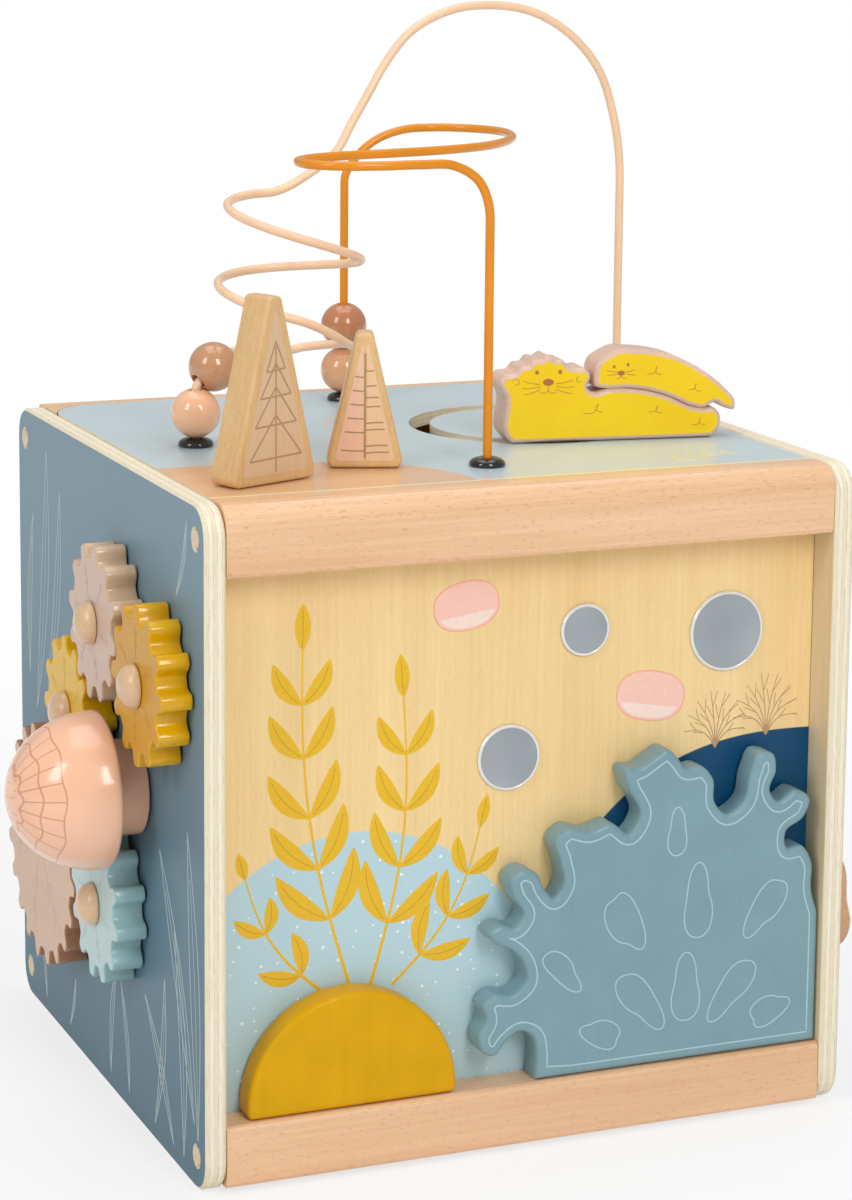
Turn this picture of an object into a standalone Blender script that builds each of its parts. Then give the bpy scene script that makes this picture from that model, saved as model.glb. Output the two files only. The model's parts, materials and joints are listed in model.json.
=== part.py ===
"""Wooden activity cube: a plywood and beech box with gears, a knob, trees, a sliding otter and bead wires.

The origin is on the ground under the middle of its whole box. +X is the cube's right, +Y its back, +Z up.
The sizes and the code give places from the middle of the cube, and the last step moves all of it sideways.
"""

import math

import bmesh
import bpy
import numpy as np
from mathutils import Matrix, Vector

# Sizes in metres and degrees. FIT is the gap kept between two pieces that touch, and ARC_SAG is the most
# that a straight side may cut off a rounded corner.
FIT = 0.0003
ARC_SAG = 0.00015

# Carcass: two plywood side panels that are also the feet, and four beech rails between them
CUBE_WIDTH = 0.300
CUBE_DEPTH = 0.282
CUBE_HEIGHT = 0.293
PANEL_THICK = 0.0095
PANEL_CORNER = 0.014
PANEL_EASE = 0.0012
RAIL_DEPTH = 0.032
RAIL_SETBACK = 0.001
TOP_RAIL_HEIGHT = 0.030
BOTTOM_RAIL_HEIGHT = 0.027
BOTTOM_RAIL_LIFT = 0.0025
RAIL_TOP_ROUND = 0.010
RAIL_ROUND = 0.002
GROOVE_DEPTH = 0.006
DOWEL_RADIUS = 0.004
DOWEL_INTO_RAIL = 0.025
DOWEL_FROM_EDGE = 0.012
DOWEL_FROM_END = 0.0146

# Front and back panels in the rails' grooves, and the top panel in the rails' rebates
FACE_THICK = 0.004
FACE_RECESS = 0.018
TOP_THICK = 0.006
TOP_FRONT_LIP = 0.021
TOP_BACK_LIP = 0.011
TOP_BACK_CORNER = 0.028
TOP_RIGHT_GAP = 0.0015

# Ring slot in the top, round a disc that stands on a hub over a board
RING_X = 0.059
RING_Y = 0.008
RING_RADIUS = 0.0505
SLOT_WIDTH = 0.010
HUB_RADIUS = 0.034
HUB_HEIGHT = 0.012
BOARD_WIDTH = 0.090
BOARD_THICK = 0.009

# Mirrors on the front panel: name, radius, distance right of the middle, distance below the top rail
MIRROR_THICK = 0.0012
MIRRORS = (
    ("mirror_small", 0.0115, 0.0285, 0.0378),
    ("mirror_medium", 0.0145, -0.0068, 0.0912),
    ("mirror_large", 0.0178, 0.0972, 0.0438),
)

# Wood shapes that stand on the front bottom rail against the front panel
RELIEF_DEPTH = 0.0142
RELIEF_EASE = 0.001
HALF_DISC_RISE = 0.0033
HALF_DISC_FROM_PANEL = 0.0107
HALF_DISC_FROM_CORAL = 0.0102
HALF_DISC_CORNER = 0.002
HALF_DISC_STEPS = 28

# Coral outline from its foot's middle line: distance right, height over the rail
CORAL_FROM_RIGHT = 0.1405
CORAL_REACH_LEFT = 0.0250
CORAL = (
    (0.0025, 0.0120), (0.0005, 0.0200), (-0.0055, 0.0228), (-0.0120, 0.0190), (-0.0170, 0.0133),
    (-0.0230, 0.0155), (-0.0250, 0.0225), (-0.0215, 0.0300), (-0.0228, 0.0362), (-0.0185, 0.0407),
    (-0.0090, 0.0403), (-0.0030, 0.0450), (-0.0040, 0.0530), (-0.0100, 0.0600), (-0.0180, 0.0642),
    (-0.0207, 0.0690), (-0.0155, 0.0717), (-0.0080, 0.0703), (-0.0045, 0.0745), (-0.0095, 0.0840),
    (-0.0107, 0.0920), (-0.0050, 0.0955), (0.0015, 0.0930), (0.0055, 0.0855), (0.0100, 0.0812),
    (0.0140, 0.0860), (0.0125, 0.0970), (0.0102, 0.1065), (0.0155, 0.1113), (0.0265, 0.1093),
    (0.0365, 0.1118), (0.0455, 0.1062), (0.0503, 0.1130), (0.0440, 0.1280), (0.0430, 0.1350),
    (0.0495, 0.1353), (0.0570, 0.1395), (0.0630, 0.1422), (0.0685, 0.1375), (0.0725, 0.1327),
    (0.0805, 0.1327), (0.0860, 0.1265), (0.0870, 0.1160), (0.0930, 0.1100), (0.1010, 0.1145),
    (0.1043, 0.1275), (0.1090, 0.1362), (0.1155, 0.1350), (0.1172, 0.1280), (0.1143, 0.1185),
    (0.1180, 0.1133), (0.1270, 0.1175), (0.1345, 0.1130), (0.1315, 0.1045), (0.1228, 0.0985),
    (0.1235, 0.0915), (0.1310, 0.0915), (0.1362, 0.0840), (0.1366, 0.0710),
)
CORAL_STEM_LEFT = 0.0020
CORAL_SIDE_HEIGHT = 0.0600

# Gears on the left panel. A small gear has 12 teeth and the large one 20, of one module
MODULE = 0.0054
SMALL_TEETH = 12
LARGE_TEETH = 20
TOOTH_OVER = 0.0026
TOOTH_UNDER = 0.0040
TOOTH_SQUARE = 2.2
TOOTH_NARROW = 0.10
MESH_PLAY = 0.0006
TOOTH_POINTS = 10
GEAR_THICK = 0.014
GEAR_STANDOFF = 0.0008
GEAR_PHASE = 8
FIRST_GEAR_FROM_FRONT = 0.111
FIRST_GEAR_BELOW_TOP = 0.0695
FRONT_GEAR_TURN = -168.4
BACK_GEAR_TURN = -50.2
LARGE_GEAR_TURN = -58.8
LOWER_GEAR_TURN = -178.4
PEG_RADIUS = 0.004
PEG_HEAD_RADIUS = 0.0103
PEG_HEAD_HEIGHT = 0.0075
PEG_HEAD_RIM = 0.0019
AXLE_RADIUS = 0.006
AXLE_COLLAR_RADIUS = 0.011
AXLE_COLLAR_THICK = 0.004
AXLE_INTO_GEAR = 0.009

# Domed knob on the left panel, placed from the top gear: a cap on a neck
DOME_FROM_GEAR_Y = -0.019
DOME_BELOW_GEAR = 0.0695
DOME_RADIUS = 0.0346
DOME_HEIGHT = 0.040
DOME_RIM_OUT = 0.0185
DOME_RIM_ROUND = 0.0015
DOME_NECK_RADIUS = 0.021
DOME_NECK_ROUND = 0.001
DOME_BORE_DEPTH = 0.030

# Two-lobed relief on the right panel: lobe radius, distance from the panel's front edge, height
SIDE_RELIEF_DEPTH = 0.015
SIDE_RELIEF_WAIST = 0.004
UPPER_LOBE = (0.0115, 0.0335, 0.0955)
LOWER_LOBE = (0.0165, 0.0340, 0.0790)

# Trees that turn on pegs: name, width, height, thickness, turn, distance from the left face and the front
TREE_TIP_ROUND = 0.0028
TREE_FOOT_ROUND = 0.0035
TREE_TIP_WIDTH = 0.0070
TREE_EASE = 0.0015
TREE_PEG_RADIUS = 0.003
TREE_PEG_DEPTH = 0.018
TREE_PEG_HEAD_RADIUS = 0.007
TREE_PEG_HEAD_THICK = 0.0025
TREES = (
    ("tree_big", 0.048, 0.079, 0.016, 22.4, 0.0428, 0.0500),
    ("tree_small", 0.0342, 0.0586, 0.014, -19.5, 0.0964, 0.0702),
)

# Otter and young: outlines from the slider peg, along the plate and up from its foot
OTTER_THICK = 0.020
OTTER_EASE = 0.0022
OTTER_ANGLE = -70
OTTER_TURN = -8
OTTER_SEAM = (
    (-0.0015, 0.0236), (0.0080, 0.0236), (0.0180, 0.0222), (0.0285, 0.0190), (0.0385, 0.0146), (0.0450, 0.0134),
)
OTTER_BACK = (
    (0.0495, 0.0136), (0.0530, 0.0095), (0.0525, 0.0040), (0.0490, 0.0000),
)
OTTER_HEAD = (
    (-0.0462, 0.0000), (-0.0492, 0.0035), (-0.0496, 0.0220), (-0.0522, 0.0275), (-0.0500, 0.0310),
    (-0.0447, 0.0320), (-0.0420, 0.0350), (-0.0388, 0.0353), (-0.0360, 0.0380), (-0.0328, 0.0377),
    (-0.0295, 0.0395), (-0.0262, 0.0375), (-0.0230, 0.0375), (-0.0205, 0.0345), (-0.0170, 0.0335),
    (-0.0125, 0.0335), (-0.0095, 0.0300), (-0.0108, 0.0240), (-0.0080, 0.0222),
)
YOUNG_BACK = (
    (0.0500, 0.0158), (0.0550, 0.0132), (0.0597, 0.0125), (0.0600, 0.0160), (0.0549, 0.0225),
    (0.0462, 0.0295), (0.0372, 0.0348), (0.0283, 0.0386), (0.0195, 0.0405), (0.0108, 0.0414),
    (0.0045, 0.0417), (-0.0010, 0.0395), (-0.0062, 0.0358), (-0.0078, 0.0300), (-0.0074, 0.0252),
)
SLIDER_STEM_RADIUS = 0.004
SLIDER_STEM_DEPTH = 0.012
SLIDER_FLANGE_RADIUS = 0.009
SLIDER_FLANGE_THICK = 0.003
SLIDER_PLAY = 0.0006

# Bead wires. A foot is placed from the cube's nearest faces, and heights are over the top
WIRE_RADIUS = 0.002
WIRE_STEP = 0.012
WIRE_HOLE_PLAY = 0.0004
WIRE_TAIL = 0.0085
LEG_TOP = 0.107
CUP_RADIUS = 0.0080
CUP_TOP_RADIUS = 0.0062
CUP_MIDDLE_RADIUS = 0.0073
CUP_HEIGHT = 0.0036
CUP_RIM = 0.0006
NUT_FLATS = 0.007
NUT_THICK = 0.0032
BEAD_RADIUS = 0.0112
BEAD_BORE_RADIUS = 0.0032
BEAD_STEPS = 16

ORANGE_FRONT_X = -0.003
ORANGE_FRONT_INSET = 0.053
ORANGE_BACK_X = 0.003
ORANGE_BACK_INSET = 0.039
PEACH_RIGHT_INSET = 0.024
PEACH_RIGHT_Y = 0.051
PEACH_LEFT_INSET = 0.0438
PEACH_LEFT_Y = 0.0015

# Orange loop: points from its front foot, then points from its back foot
ORANGE_FRONT_PATH = (
    (-0.0055, -0.0010, 0.1235), (-0.0185, -0.0035, 0.1310), (-0.0340, -0.0062, 0.1320), (-0.0520, -0.0070, 0.1320),
    (-0.0690, -0.0030, 0.1320), (-0.0795, 0.0090, 0.1320), (-0.0785, 0.0250, 0.1320), (-0.0660, 0.0385, 0.1320),
    (-0.0470, 0.0465, 0.1320), (-0.0230, 0.0530, 0.1320), (0.0060, 0.0630, 0.1320), (0.0320, 0.0790, 0.1320),
)
ORANGE_BACK_PATH = (
    (0.0490, -0.0840, 0.1320), (0.0630, -0.0560, 0.1320), (0.0680, -0.0300, 0.1320), (0.0615, -0.0100, 0.1320),
    (0.0460, 0.0005, 0.1320), (0.0290, 0.0000, 0.1310), (0.0170, 0.0000, 0.1270), (0.0070, 0.0000, 0.1195),
)

# Peach wire: an arch from the right foot, a coil, and a bend down into the left foot
PEACH_ARCH_RIGHT = (
    (-0.0015, -0.0004, 0.1260), (-0.0053, -0.0010, 0.1428), (-0.0130, -0.0029, 0.1610), (-0.0290, -0.0048, 0.1785),
    (-0.0510, -0.0067, 0.1902), (-0.0735, -0.0086, 0.1934),
)
PEACH_ARCH_LEFT = (
    (0.1390, 0.0390, 0.1915), (0.1169, 0.0371, 0.1812), (0.1038, 0.0352, 0.1669), (0.0952, 0.0333, 0.1540),
    (0.0860, 0.0315, 0.1400), (0.0780, 0.0300, 0.1275), (0.0660, 0.0300, 0.1185),
)
COIL_RADIUS = 0.031
COIL_TOP_AXIS = 0.0482
COIL_LOW_AXIS = 0.0402
COIL_AXIS_Y = -0.0015
COIL_START_HEIGHT = 0.1013
COIL_PITCH = 0.035
COIL_TILT = 0.0038
COIL_END_HEIGHT = 0.043
COIL_STEP = 22.5
RETURN_RADIUS = 0.018
RETURN_TURN = 109.4
RETURN_DROP = 0.0045
BEND_HEADING = 199.4
BEND_RADIUS = 0.038
BEND_START = -12
BEND_END = 50
FOOT_BEND_RADIUS = 0.006
FOOT_STRAIGHT = 0.0243
BEND_PITCH = 7.75

# Places worked out from the sizes
TOP = CUBE_HEIGHT
LEFT = -CUBE_WIDTH / 2
RIGHT = CUBE_WIDTH / 2
FRONT = -CUBE_DEPTH / 2
BACK = CUBE_DEPTH / 2
INNER_HALF = CUBE_WIDTH / 2 - PANEL_THICK
RAIL_LENGTH = 2 * (INNER_HALF - FIT)
RAIL_OUT = CUBE_DEPTH / 2 - RAIL_SETBACK
RAIL_IN = RAIL_OUT - RAIL_DEPTH
FACE_OUT = CUBE_DEPTH / 2 - FACE_RECESS
TOP_RAIL_UNDER = TOP - TOP_RAIL_HEIGHT
BOTTOM_RAIL_TOP = BOTTOM_RAIL_LIFT + BOTTOM_RAIL_HEIGHT
TOP_UNDER = TOP - TOP_THICK
STAND = TOP + FIT
SMALL_PITCH = MODULE * SMALL_TEETH / 2
LARGE_PITCH = MODULE * LARGE_TEETH / 2
FIRST_GEAR = Vector((FRONT + FIRST_GEAR_FROM_FRONT, TOP - FIRST_GEAR_BELOW_TOP))
DOME = FIRST_GEAR + Vector((DOME_FROM_GEAR_Y, -DOME_BELOW_GEAR))
# From the middle of the cube to the middle of the whole box, with what stands out of its sides
OFF_CENTRE = (FIT + SIDE_RELIEF_DEPTH - DOME_RIM_OUT - DOME_HEIGHT) / 2
FEET = {
    "orange_front": Vector((ORANGE_FRONT_X, FRONT + ORANGE_FRONT_INSET)),
    "orange_back": Vector((ORANGE_BACK_X, BACK - ORANGE_BACK_INSET)),
    "peach_right": Vector((RIGHT - PEACH_RIGHT_INSET, PEACH_RIGHT_Y)),
    "peach_left": Vector((LEFT + PEACH_LEFT_INSET, PEACH_LEFT_Y)),
}


def srgb(red, green, blue):
    """The linear colour of a screen colour."""
    values = (red, green, blue)
    return tuple(v / 12.92 if v <= 0.04045 else ((v + 0.055) / 1.055) ** 2.4 for v in values)


COLOURS = {
    "ply": (srgb(0.93, 0.86, 0.74), 0.55, 0.0),
    "beech": (srgb(0.90, 0.73, 0.57), 0.50, 0.0),
    "blue_paint": (srgb(0.49, 0.59, 0.64), 0.55, 0.0),
    "front_print": (srgb(0.96, 0.84, 0.60), 0.55, 0.0),
    "top_print": (srgb(0.72, 0.80, 0.83), 0.50, 0.0),
    "mirror": (srgb(0.85, 0.88, 0.90), 0.05, 1.0),
    "coral_blue": (srgb(0.50, 0.64, 0.68), 0.50, 0.0),
    "taupe": (srgb(0.80, 0.64, 0.58), 0.50, 0.0),
    "mustard": (srgb(0.84, 0.64, 0.10), 0.50, 0.0),
    "yellow": (srgb(0.93, 0.78, 0.22), 0.50, 0.0),
    "light_blue": (srgb(0.60, 0.72, 0.77), 0.50, 0.0),
    "beige": (srgb(0.85, 0.72, 0.58), 0.50, 0.0),
    "peach": (srgb(0.93, 0.74, 0.62), 0.45, 0.0),
    "otter_yellow": (srgb(0.93, 0.78, 0.10), 0.50, 0.0),
    "orange_wire": (srgb(0.87, 0.53, 0.13), 0.35, 0.0),
    "peach_wire": (srgb(0.97, 0.74, 0.58), 0.35, 0.0),
    "black_cup": (srgb(0.03, 0.03, 0.03), 0.20, 0.0),
    "steel": (srgb(0.62, 0.62, 0.63), 0.35, 1.0),
    "tan_bead": (srgb(0.80, 0.62, 0.46), 0.35, 0.0),
    "terracotta_bead": (srgb(0.75, 0.48, 0.33), 0.35, 0.0),
    "pink_bead": (srgb(0.90, 0.68, 0.56), 0.35, 0.0),
    "brown_bead": (srgb(0.70, 0.50, 0.38), 0.35, 0.0),
}

# Local x, y and z of a piece laid out on a side panel become +Y, +Z and +X
ON_SIDE = (math.pi / 2, 0, math.pi / 2)
# Local x, y and z of a piece laid out on the front become +X, +Z and -Y
ON_FRONT = (math.pi / 2, 0, 0)
# Local z of a turned piece points out of the left panel
OUT_LEFT = (0, -math.pi / 2, 0)


def cleared_scene():
    """Removes what the scene holds and gives the collections for the parts and for the cutters."""
    for held in list(bpy.data.objects):
        bpy.data.objects.remove(held, do_unlink=True)
    made = []
    for name in ("activity_cube", "cutters"):
        collection = bpy.data.collections.new(name)
        bpy.context.scene.collection.children.link(collection)
        made.append(collection)
    made[1].hide_render = True
    return made


PARTS, CUTTERS = cleared_scene()


def material(colour):
    """The Principled material of one of the colours, made once."""
    found = bpy.data.materials.get(colour)
    if found:
        return found
    base, roughness, metallic = COLOURS[colour]
    made = bpy.data.materials.new(colour)
    made.use_nodes = True
    shader = made.node_tree.nodes["Principled BSDF"]
    shader.inputs["Base Color"].default_value = (*base, 1.0)
    shader.inputs["Roughness"].default_value = roughness
    shader.inputs["Metallic"].default_value = metallic
    return made


def placed(name, data, colour, location=(0, 0, 0), rotation=(0, 0, 0)):
    """Adds an object to the parts, or to the cutters when it has no colour."""
    obj = bpy.data.objects.new(name, data)
    obj.location = location
    obj.rotation_euler = rotation
    if colour:
        data.materials.append(material(colour))
        PARTS.objects.link(obj)
        return obj
    obj.hide_render = True
    obj.display_type = "WIRE"
    CUTTERS.objects.link(obj)
    return obj


def polar(radius, degrees, centre=(0.0, 0.0)):
    angle = math.radians(degrees)
    return Vector((centre[0] + radius * math.cos(angle), centre[1] + radius * math.sin(angle)))


def circle(radius, centre=(0.0, 0.0), points=24):
    return [polar(radius, 360 * k / points, centre) for k in range(points)]


def rounded(corners):
    """The closed outline through (x, y, radius) corners, each turned with an arc."""
    outline = []
    for index, (x, y, radius) in enumerate(corners):
        here = Vector((x, y))
        to_last = (Vector(corners[index - 1][:2]) - here).normalized()
        to_next = (Vector(corners[(index + 1) % len(corners)][:2]) - here).normalized()
        if radius <= 0:
            outline.append(here)
            continue
        half = to_last.angle(to_next) / 2
        centre = here + (to_last + to_next).normalized() * radius / math.sin(half)
        start = here + to_last * radius / math.tan(half) - centre
        end = here + to_next * radius / math.tan(half) - centre
        first = math.degrees(math.atan2(start.y, start.x))
        turn = (math.degrees(math.atan2(end.y, end.x)) - first + 180) % 360 - 180
        step = 2 * math.degrees(math.acos(1 - min(0.9, ARC_SAG / radius)))
        steps = max(2, round(abs(turn) / step))
        outline += [polar(radius, first + turn * k / steps, centre) for k in range(steps + 1)]
    return outline


def flat_curve(name, thickness, ease):
    """A filled 2D curve of this thickness, whose edges are eased inwards."""
    data = bpy.data.curves.new(name, "CURVE")
    data.dimensions = "2D"
    data.fill_mode = "BOTH"
    data.extrude = thickness / 2 - ease
    data.bevel_depth = ease
    data.bevel_resolution = 0
    data.offset = -ease
    return data


def plate(name, outlines, thickness, colour, location, rotation=(0, 0, 0), ease=0.0):
    """A flat piece cut to closed outlines, the first its edge and the rest its holes."""
    data = flat_curve(name, thickness, ease)
    for outline in outlines:
        spline = data.splines.new("POLY")
        spline.points.add(len(outline) - 1)
        spline.points.foreach_set("co", [v for x, y in outline for v in (x, y, 0, 1)])
        spline.use_cyclic_u = True
    return placed(name, data, colour, location, rotation)


def smooth_plate(name, outline, sharp, thickness, colour, location, rotation, ease):
    """A flat piece whose outline runs smoothly through its points, apart from the sharp ones."""
    data = flat_curve(name, thickness, ease)
    data.resolution_u = 2
    spline = data.splines.new("BEZIER")
    spline.bezier_points.add(len(outline) - 1)
    spline.use_cyclic_u = True
    for index, (point, (x, y)) in enumerate(zip(spline.bezier_points, outline)):
        kind = "VECTOR" if index in sharp else "AUTO"
        point.co = (x, y, 0)
        point.handle_left_type = kind
        point.handle_right_type = kind
    return placed(name, data, colour, location, rotation)


def turned(name, profile, steps, colour, location, rotation=(0, 0, 0), bored=False):
    """A piece turned about its local z. The profile gives (radius, height) down its outer side."""
    mesh = bpy.data.meshes.new(name)
    points = [(radius, 0, height) for radius, height in profile]
    edges = [(k, k + 1) for k in range(len(points) - 1)]
    if bored:
        edges.append((len(points) - 1, 0))
    mesh.from_pydata(points, edges, [])
    obj = placed(name, mesh, colour, location, rotation)
    screw = obj.modifiers.new("turn", "SCREW")
    screw.steps = screw.render_steps = steps
    screw.use_merge_vertices = True
    screw.merge_threshold = 0.00001
    screw.use_smooth_shade = True
    return obj


def as_mesh(obj):
    """Makes a curve object a mesh with its caps welded on, under the same name and place."""
    name, matrix = obj.name, obj.matrix_basis.copy()
    held = obj.users_collection[0]
    bpy.context.view_layer.update()
    mesh = bpy.data.meshes.new_from_object(obj.evaluated_get(bpy.context.evaluated_depsgraph_get()))
    bpy.data.objects.remove(obj, do_unlink=True)
    shape = bmesh.new()
    shape.from_mesh(mesh)
    bmesh.ops.remove_doubles(shape, verts=shape.verts, dist=0.00001)
    bmesh.ops.recalc_face_normals(shape, faces=shape.faces)
    shape.to_mesh(mesh)
    shape.free()
    mesh.name = name
    made = bpy.data.objects.new(name, mesh)
    made.matrix_basis = matrix
    held.objects.link(made)
    return made


def drill(target, name, radius, length, location, rotation=(0, 0, 0)):
    """Cuts a round hole, centred at a place in the world, along the local z of its rotation."""
    mesh = bpy.data.meshes.new(name)
    shape = bmesh.new()
    bmesh.ops.create_cone(
        shape, cap_ends=True, segments=20, radius1=radius, radius2=radius, depth=length
    )
    shape.to_mesh(mesh)
    shape.free()
    cutter = placed(name, mesh, None, location, rotation)
    cut(target, cutter)


def cut(target, cutter):
    boolean = target.modifiers.new(cutter.name, "BOOLEAN")
    boolean.operation = "DIFFERENCE"
    boolean.solver = "EXACT"
    boolean.object = cutter


def side_panels():
    """Both plywood panels, with holes for the dowels and, in the left one, for the gears and the knob."""
    half, corner = CUBE_DEPTH / 2, PANEL_CORNER
    outline = rounded([(-half, 0, corner), (half, 0, corner), (half, TOP, corner), (-half, TOP, corner)])
    dowels = [circle(DOWEL_RADIUS + FIT, place, 12) for place in dowel_places()]
    bores = [circle(PEG_RADIUS + FIT, gear["place"], 12) for gear in gears() if gear["teeth"] == SMALL_TEETH]
    bores += [circle(AXLE_RADIUS + FIT, gear["place"], 16) for gear in gears() if gear["teeth"] == LARGE_TEETH]
    bores.append(circle(AXLE_RADIUS + FIT, DOME, 16))
    for name, x, holes in (
        ("side_panel_left", LEFT + PANEL_THICK / 2, dowels + bores),
        ("side_panel_right", RIGHT - PANEL_THICK / 2, dowels),
    ):
        plate(name, [outline, *holes], PANEL_THICK, "blue_paint", (x, 0, 0), ON_SIDE, PANEL_EASE)


def dowel_places():
    """(y, z) of the four dowels in a side panel."""
    y = CUBE_DEPTH / 2 - DOWEL_FROM_EDGE
    return [(side * y, z) for side in (-1, 1) for z in (DOWEL_FROM_END, TOP - DOWEL_FROM_END)]


def dowels():
    """Through dowels, flush with the side panels, that hold them to the rails."""
    length = PANEL_THICK + DOWEL_INTO_RAIL - FIT
    for side, label in ((-1, "left"), (1, "right")):
        for index, (y, z) in enumerate(dowel_places()):
            x = side * (CUBE_WIDTH / 2 - FIT - length / 2)
            name = f"dowel_{label}_{index + 1}"
            end = DOWEL_RADIUS
            profile = [(0, length / 2), (end, length / 2), (end, -length / 2), (0, -length / 2)]
            turned(name, profile, 12, "beech", (x, y, z), OUT_LEFT)


def rails():
    """Four rails with grooves for the front and back panels, and rebates for the top panel."""
    pocket = top_pocket()
    groove_in = FACE_OUT - FACE_THICK - FIT
    groove_out = FACE_OUT + FIT
    top_groove = TOP_RAIL_UNDER + GROOVE_DEPTH
    low_groove = BOTTOM_RAIL_TOP - GROOVE_DEPTH
    top_section = [
        (RAIL_OUT, TOP, RAIL_TOP_ROUND), (RAIL_OUT, TOP_RAIL_UNDER, RAIL_ROUND), (groove_out, TOP_RAIL_UNDER, 0),
        (groove_out, top_groove, 0), (groove_in, top_groove, 0), (groove_in, TOP_RAIL_UNDER, 0),
        (RAIL_IN, TOP_RAIL_UNDER, RAIL_ROUND), (RAIL_IN, TOP, 0),
    ]
    low_section = [
        (RAIL_OUT, BOTTOM_RAIL_LIFT, RAIL_ROUND), (RAIL_OUT, BOTTOM_RAIL_TOP, RAIL_ROUND),
        (groove_out, BOTTOM_RAIL_TOP, 0), (groove_out, low_groove, 0), (groove_in, low_groove, 0),
        (groove_in, BOTTOM_RAIL_TOP, 0), (RAIL_IN, BOTTOM_RAIL_TOP, RAIL_ROUND),
        (RAIL_IN, BOTTOM_RAIL_LIFT, RAIL_ROUND),
    ]
    for side, label in ((-1, "front"), (1, "back")):
        for level, section, z in (
            ("top", top_section, TOP - DOWEL_FROM_END),
            ("bottom", low_section, DOWEL_FROM_END),
        ):
            name = f"rail_{level}_{label}"
            outline = rounded([(side * y, height, radius) for y, height, radius in section])
            rail = as_mesh(plate(name, [outline], RAIL_LENGTH, "beech", (0, 0, 0), ON_SIDE))
            for end in (-1, 1):
                place = (end * INNER_HALF, side * (CUBE_DEPTH / 2 - DOWEL_FROM_EDGE), z)
                bore = DOWEL_RADIUS + FIT
                drill(rail, f"{name}_bore_{end}", bore, 2 * (DOWEL_INTO_RAIL + FIT), place, OUT_LEFT)
            if level == "top":
                cut(rail, pocket)


def top_pocket():
    """The cutter that leaves the rebates for the top panel, with its round back corners."""
    back = BACK - TOP_BACK_LIP + FIT
    front = FRONT + TOP_FRONT_LIP - FIT
    half = INNER_HALF + FIT
    radius = TOP_BACK_CORNER + FIT
    outline = rounded([(-half, front, 0), (half, front, 0), (half, back, radius), (-half, back, radius)])
    depth = TOP_THICK + FIT
    cutter = plate("top_pocket", [outline], 2 * depth, None, (0, 0, TOP))
    return as_mesh(cutter)


def face_panels():
    """Front and back panels, held in the rails' grooves."""
    low = BOTTOM_RAIL_TOP - GROOVE_DEPTH + FIT
    high = TOP_RAIL_UNDER + GROOVE_DEPTH - FIT
    half = INNER_HALF - FIT
    outline = [(-half, low), (half, low), (half, high), (-half, high)]
    for name, y, colour in (
        ("front_panel", FACE_THICK / 2 - FACE_OUT, "front_print"),
        ("back_panel", FACE_OUT - FACE_THICK / 2, "blue_paint"),
    ):
        plate(name, [outline], FACE_THICK, colour, (0, y, 0), ON_FRONT)


def top_boards():
    """The top panel with its round opening, the disc within it, the hub and the board that carries them."""
    front = FRONT + TOP_FRONT_LIP
    back = BACK - TOP_BACK_LIP
    left = -INNER_HALF + FIT
    right = INNER_HALF - TOP_RIGHT_GAP
    corner = TOP_BACK_CORNER
    outline = rounded([(left, front, 0), (right, front, 0), (right, back, corner), (left, back, corner)])
    holes = [circle(RING_RADIUS + SLOT_WIDTH / 2, (RING_X, RING_Y), 48)]
    holes += [circle(WIRE_RADIUS + WIRE_HOLE_PLAY, foot, 12) for foot in FEET.values()]
    holes += [circle(TREE_PEG_RADIUS + FIT, tree_place(tree), 12) for tree in TREES]
    plate("top_panel", [outline, *holes], TOP_THICK, "top_print", (0, 0, TOP - TOP_THICK / 2))

    disc = circle(RING_RADIUS - SLOT_WIDTH / 2, points=48)
    plate("top_disc", [disc], TOP_THICK, "top_print", (RING_X, RING_Y, TOP - TOP_THICK / 2))
    hub_z = TOP_UNDER - FIT - HUB_HEIGHT / 2
    plate("disc_hub", [circle(HUB_RADIUS, points=32)], HUB_HEIGHT, "ply", (RING_X, RING_Y, hub_z))
    half = RAIL_IN - FIT
    side = BOARD_WIDTH / 2
    board = [(RING_X - side, -half), (RING_X + side, -half), (RING_X + side, half), (RING_X - side, half)]
    board_z = TOP_UNDER - 2 * FIT - HUB_HEIGHT - BOARD_THICK / 2
    plate("under_board", [board], BOARD_THICK, "ply", (0, 0, board_z))


def mirrors():
    for name, radius, x, drop in MIRRORS:
        place = (x, -FACE_OUT - FIT - MIRROR_THICK / 2, TOP_RAIL_UNDER - drop)
        plate(name, [circle(radius, points=32)], MIRROR_THICK, "mirror", place, ON_FRONT)


def front_reliefs():
    """The half disc and the coral, standing on the bottom rail against the front panel."""
    y = -FACE_OUT - FIT - RELIEF_DEPTH / 2
    foot = BOTTOM_RAIL_TOP + FIT
    left = HALF_DISC_FROM_PANEL - INNER_HALF
    right = INNER_HALF - CORAL_FROM_RIGHT - CORAL_REACH_LEFT - HALF_DISC_FROM_CORAL
    radius = (right - left) / 2
    reach = math.sqrt(radius**2 - HALF_DISC_RISE**2)
    below = math.degrees(math.asin(HALF_DISC_RISE / radius))
    turn = (180 + 2 * below) / HALF_DISC_STEPS
    arc = [polar(radius, k * turn - below, (0, HALF_DISC_RISE)) for k in range(HALF_DISC_STEPS + 1)]
    outline = [point for point in arc if point.y > HALF_DISC_CORNER]
    outline += [(HALF_DISC_CORNER - reach, 0), (reach - HALF_DISC_CORNER, 0)]
    x = (left + right) / 2
    plate("half_disc", [outline], RELIEF_DEPTH, "mustard", (x, y, foot), ON_FRONT, RELIEF_EASE)

    side = CORAL_FROM_RIGHT - 2 * FIT
    outline = [(CORAL_STEM_LEFT, 0), *CORAL, (side, CORAL_SIDE_HEIGHT), (side, 0)]
    sharp = {0, len(outline) - 1, len(outline) - 2}
    x = INNER_HALF - CORAL_FROM_RIGHT
    smooth_plate("coral", outline, sharp, RELIEF_DEPTH, "coral_blue", (x, y, foot), ON_FRONT, RELIEF_EASE)


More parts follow.
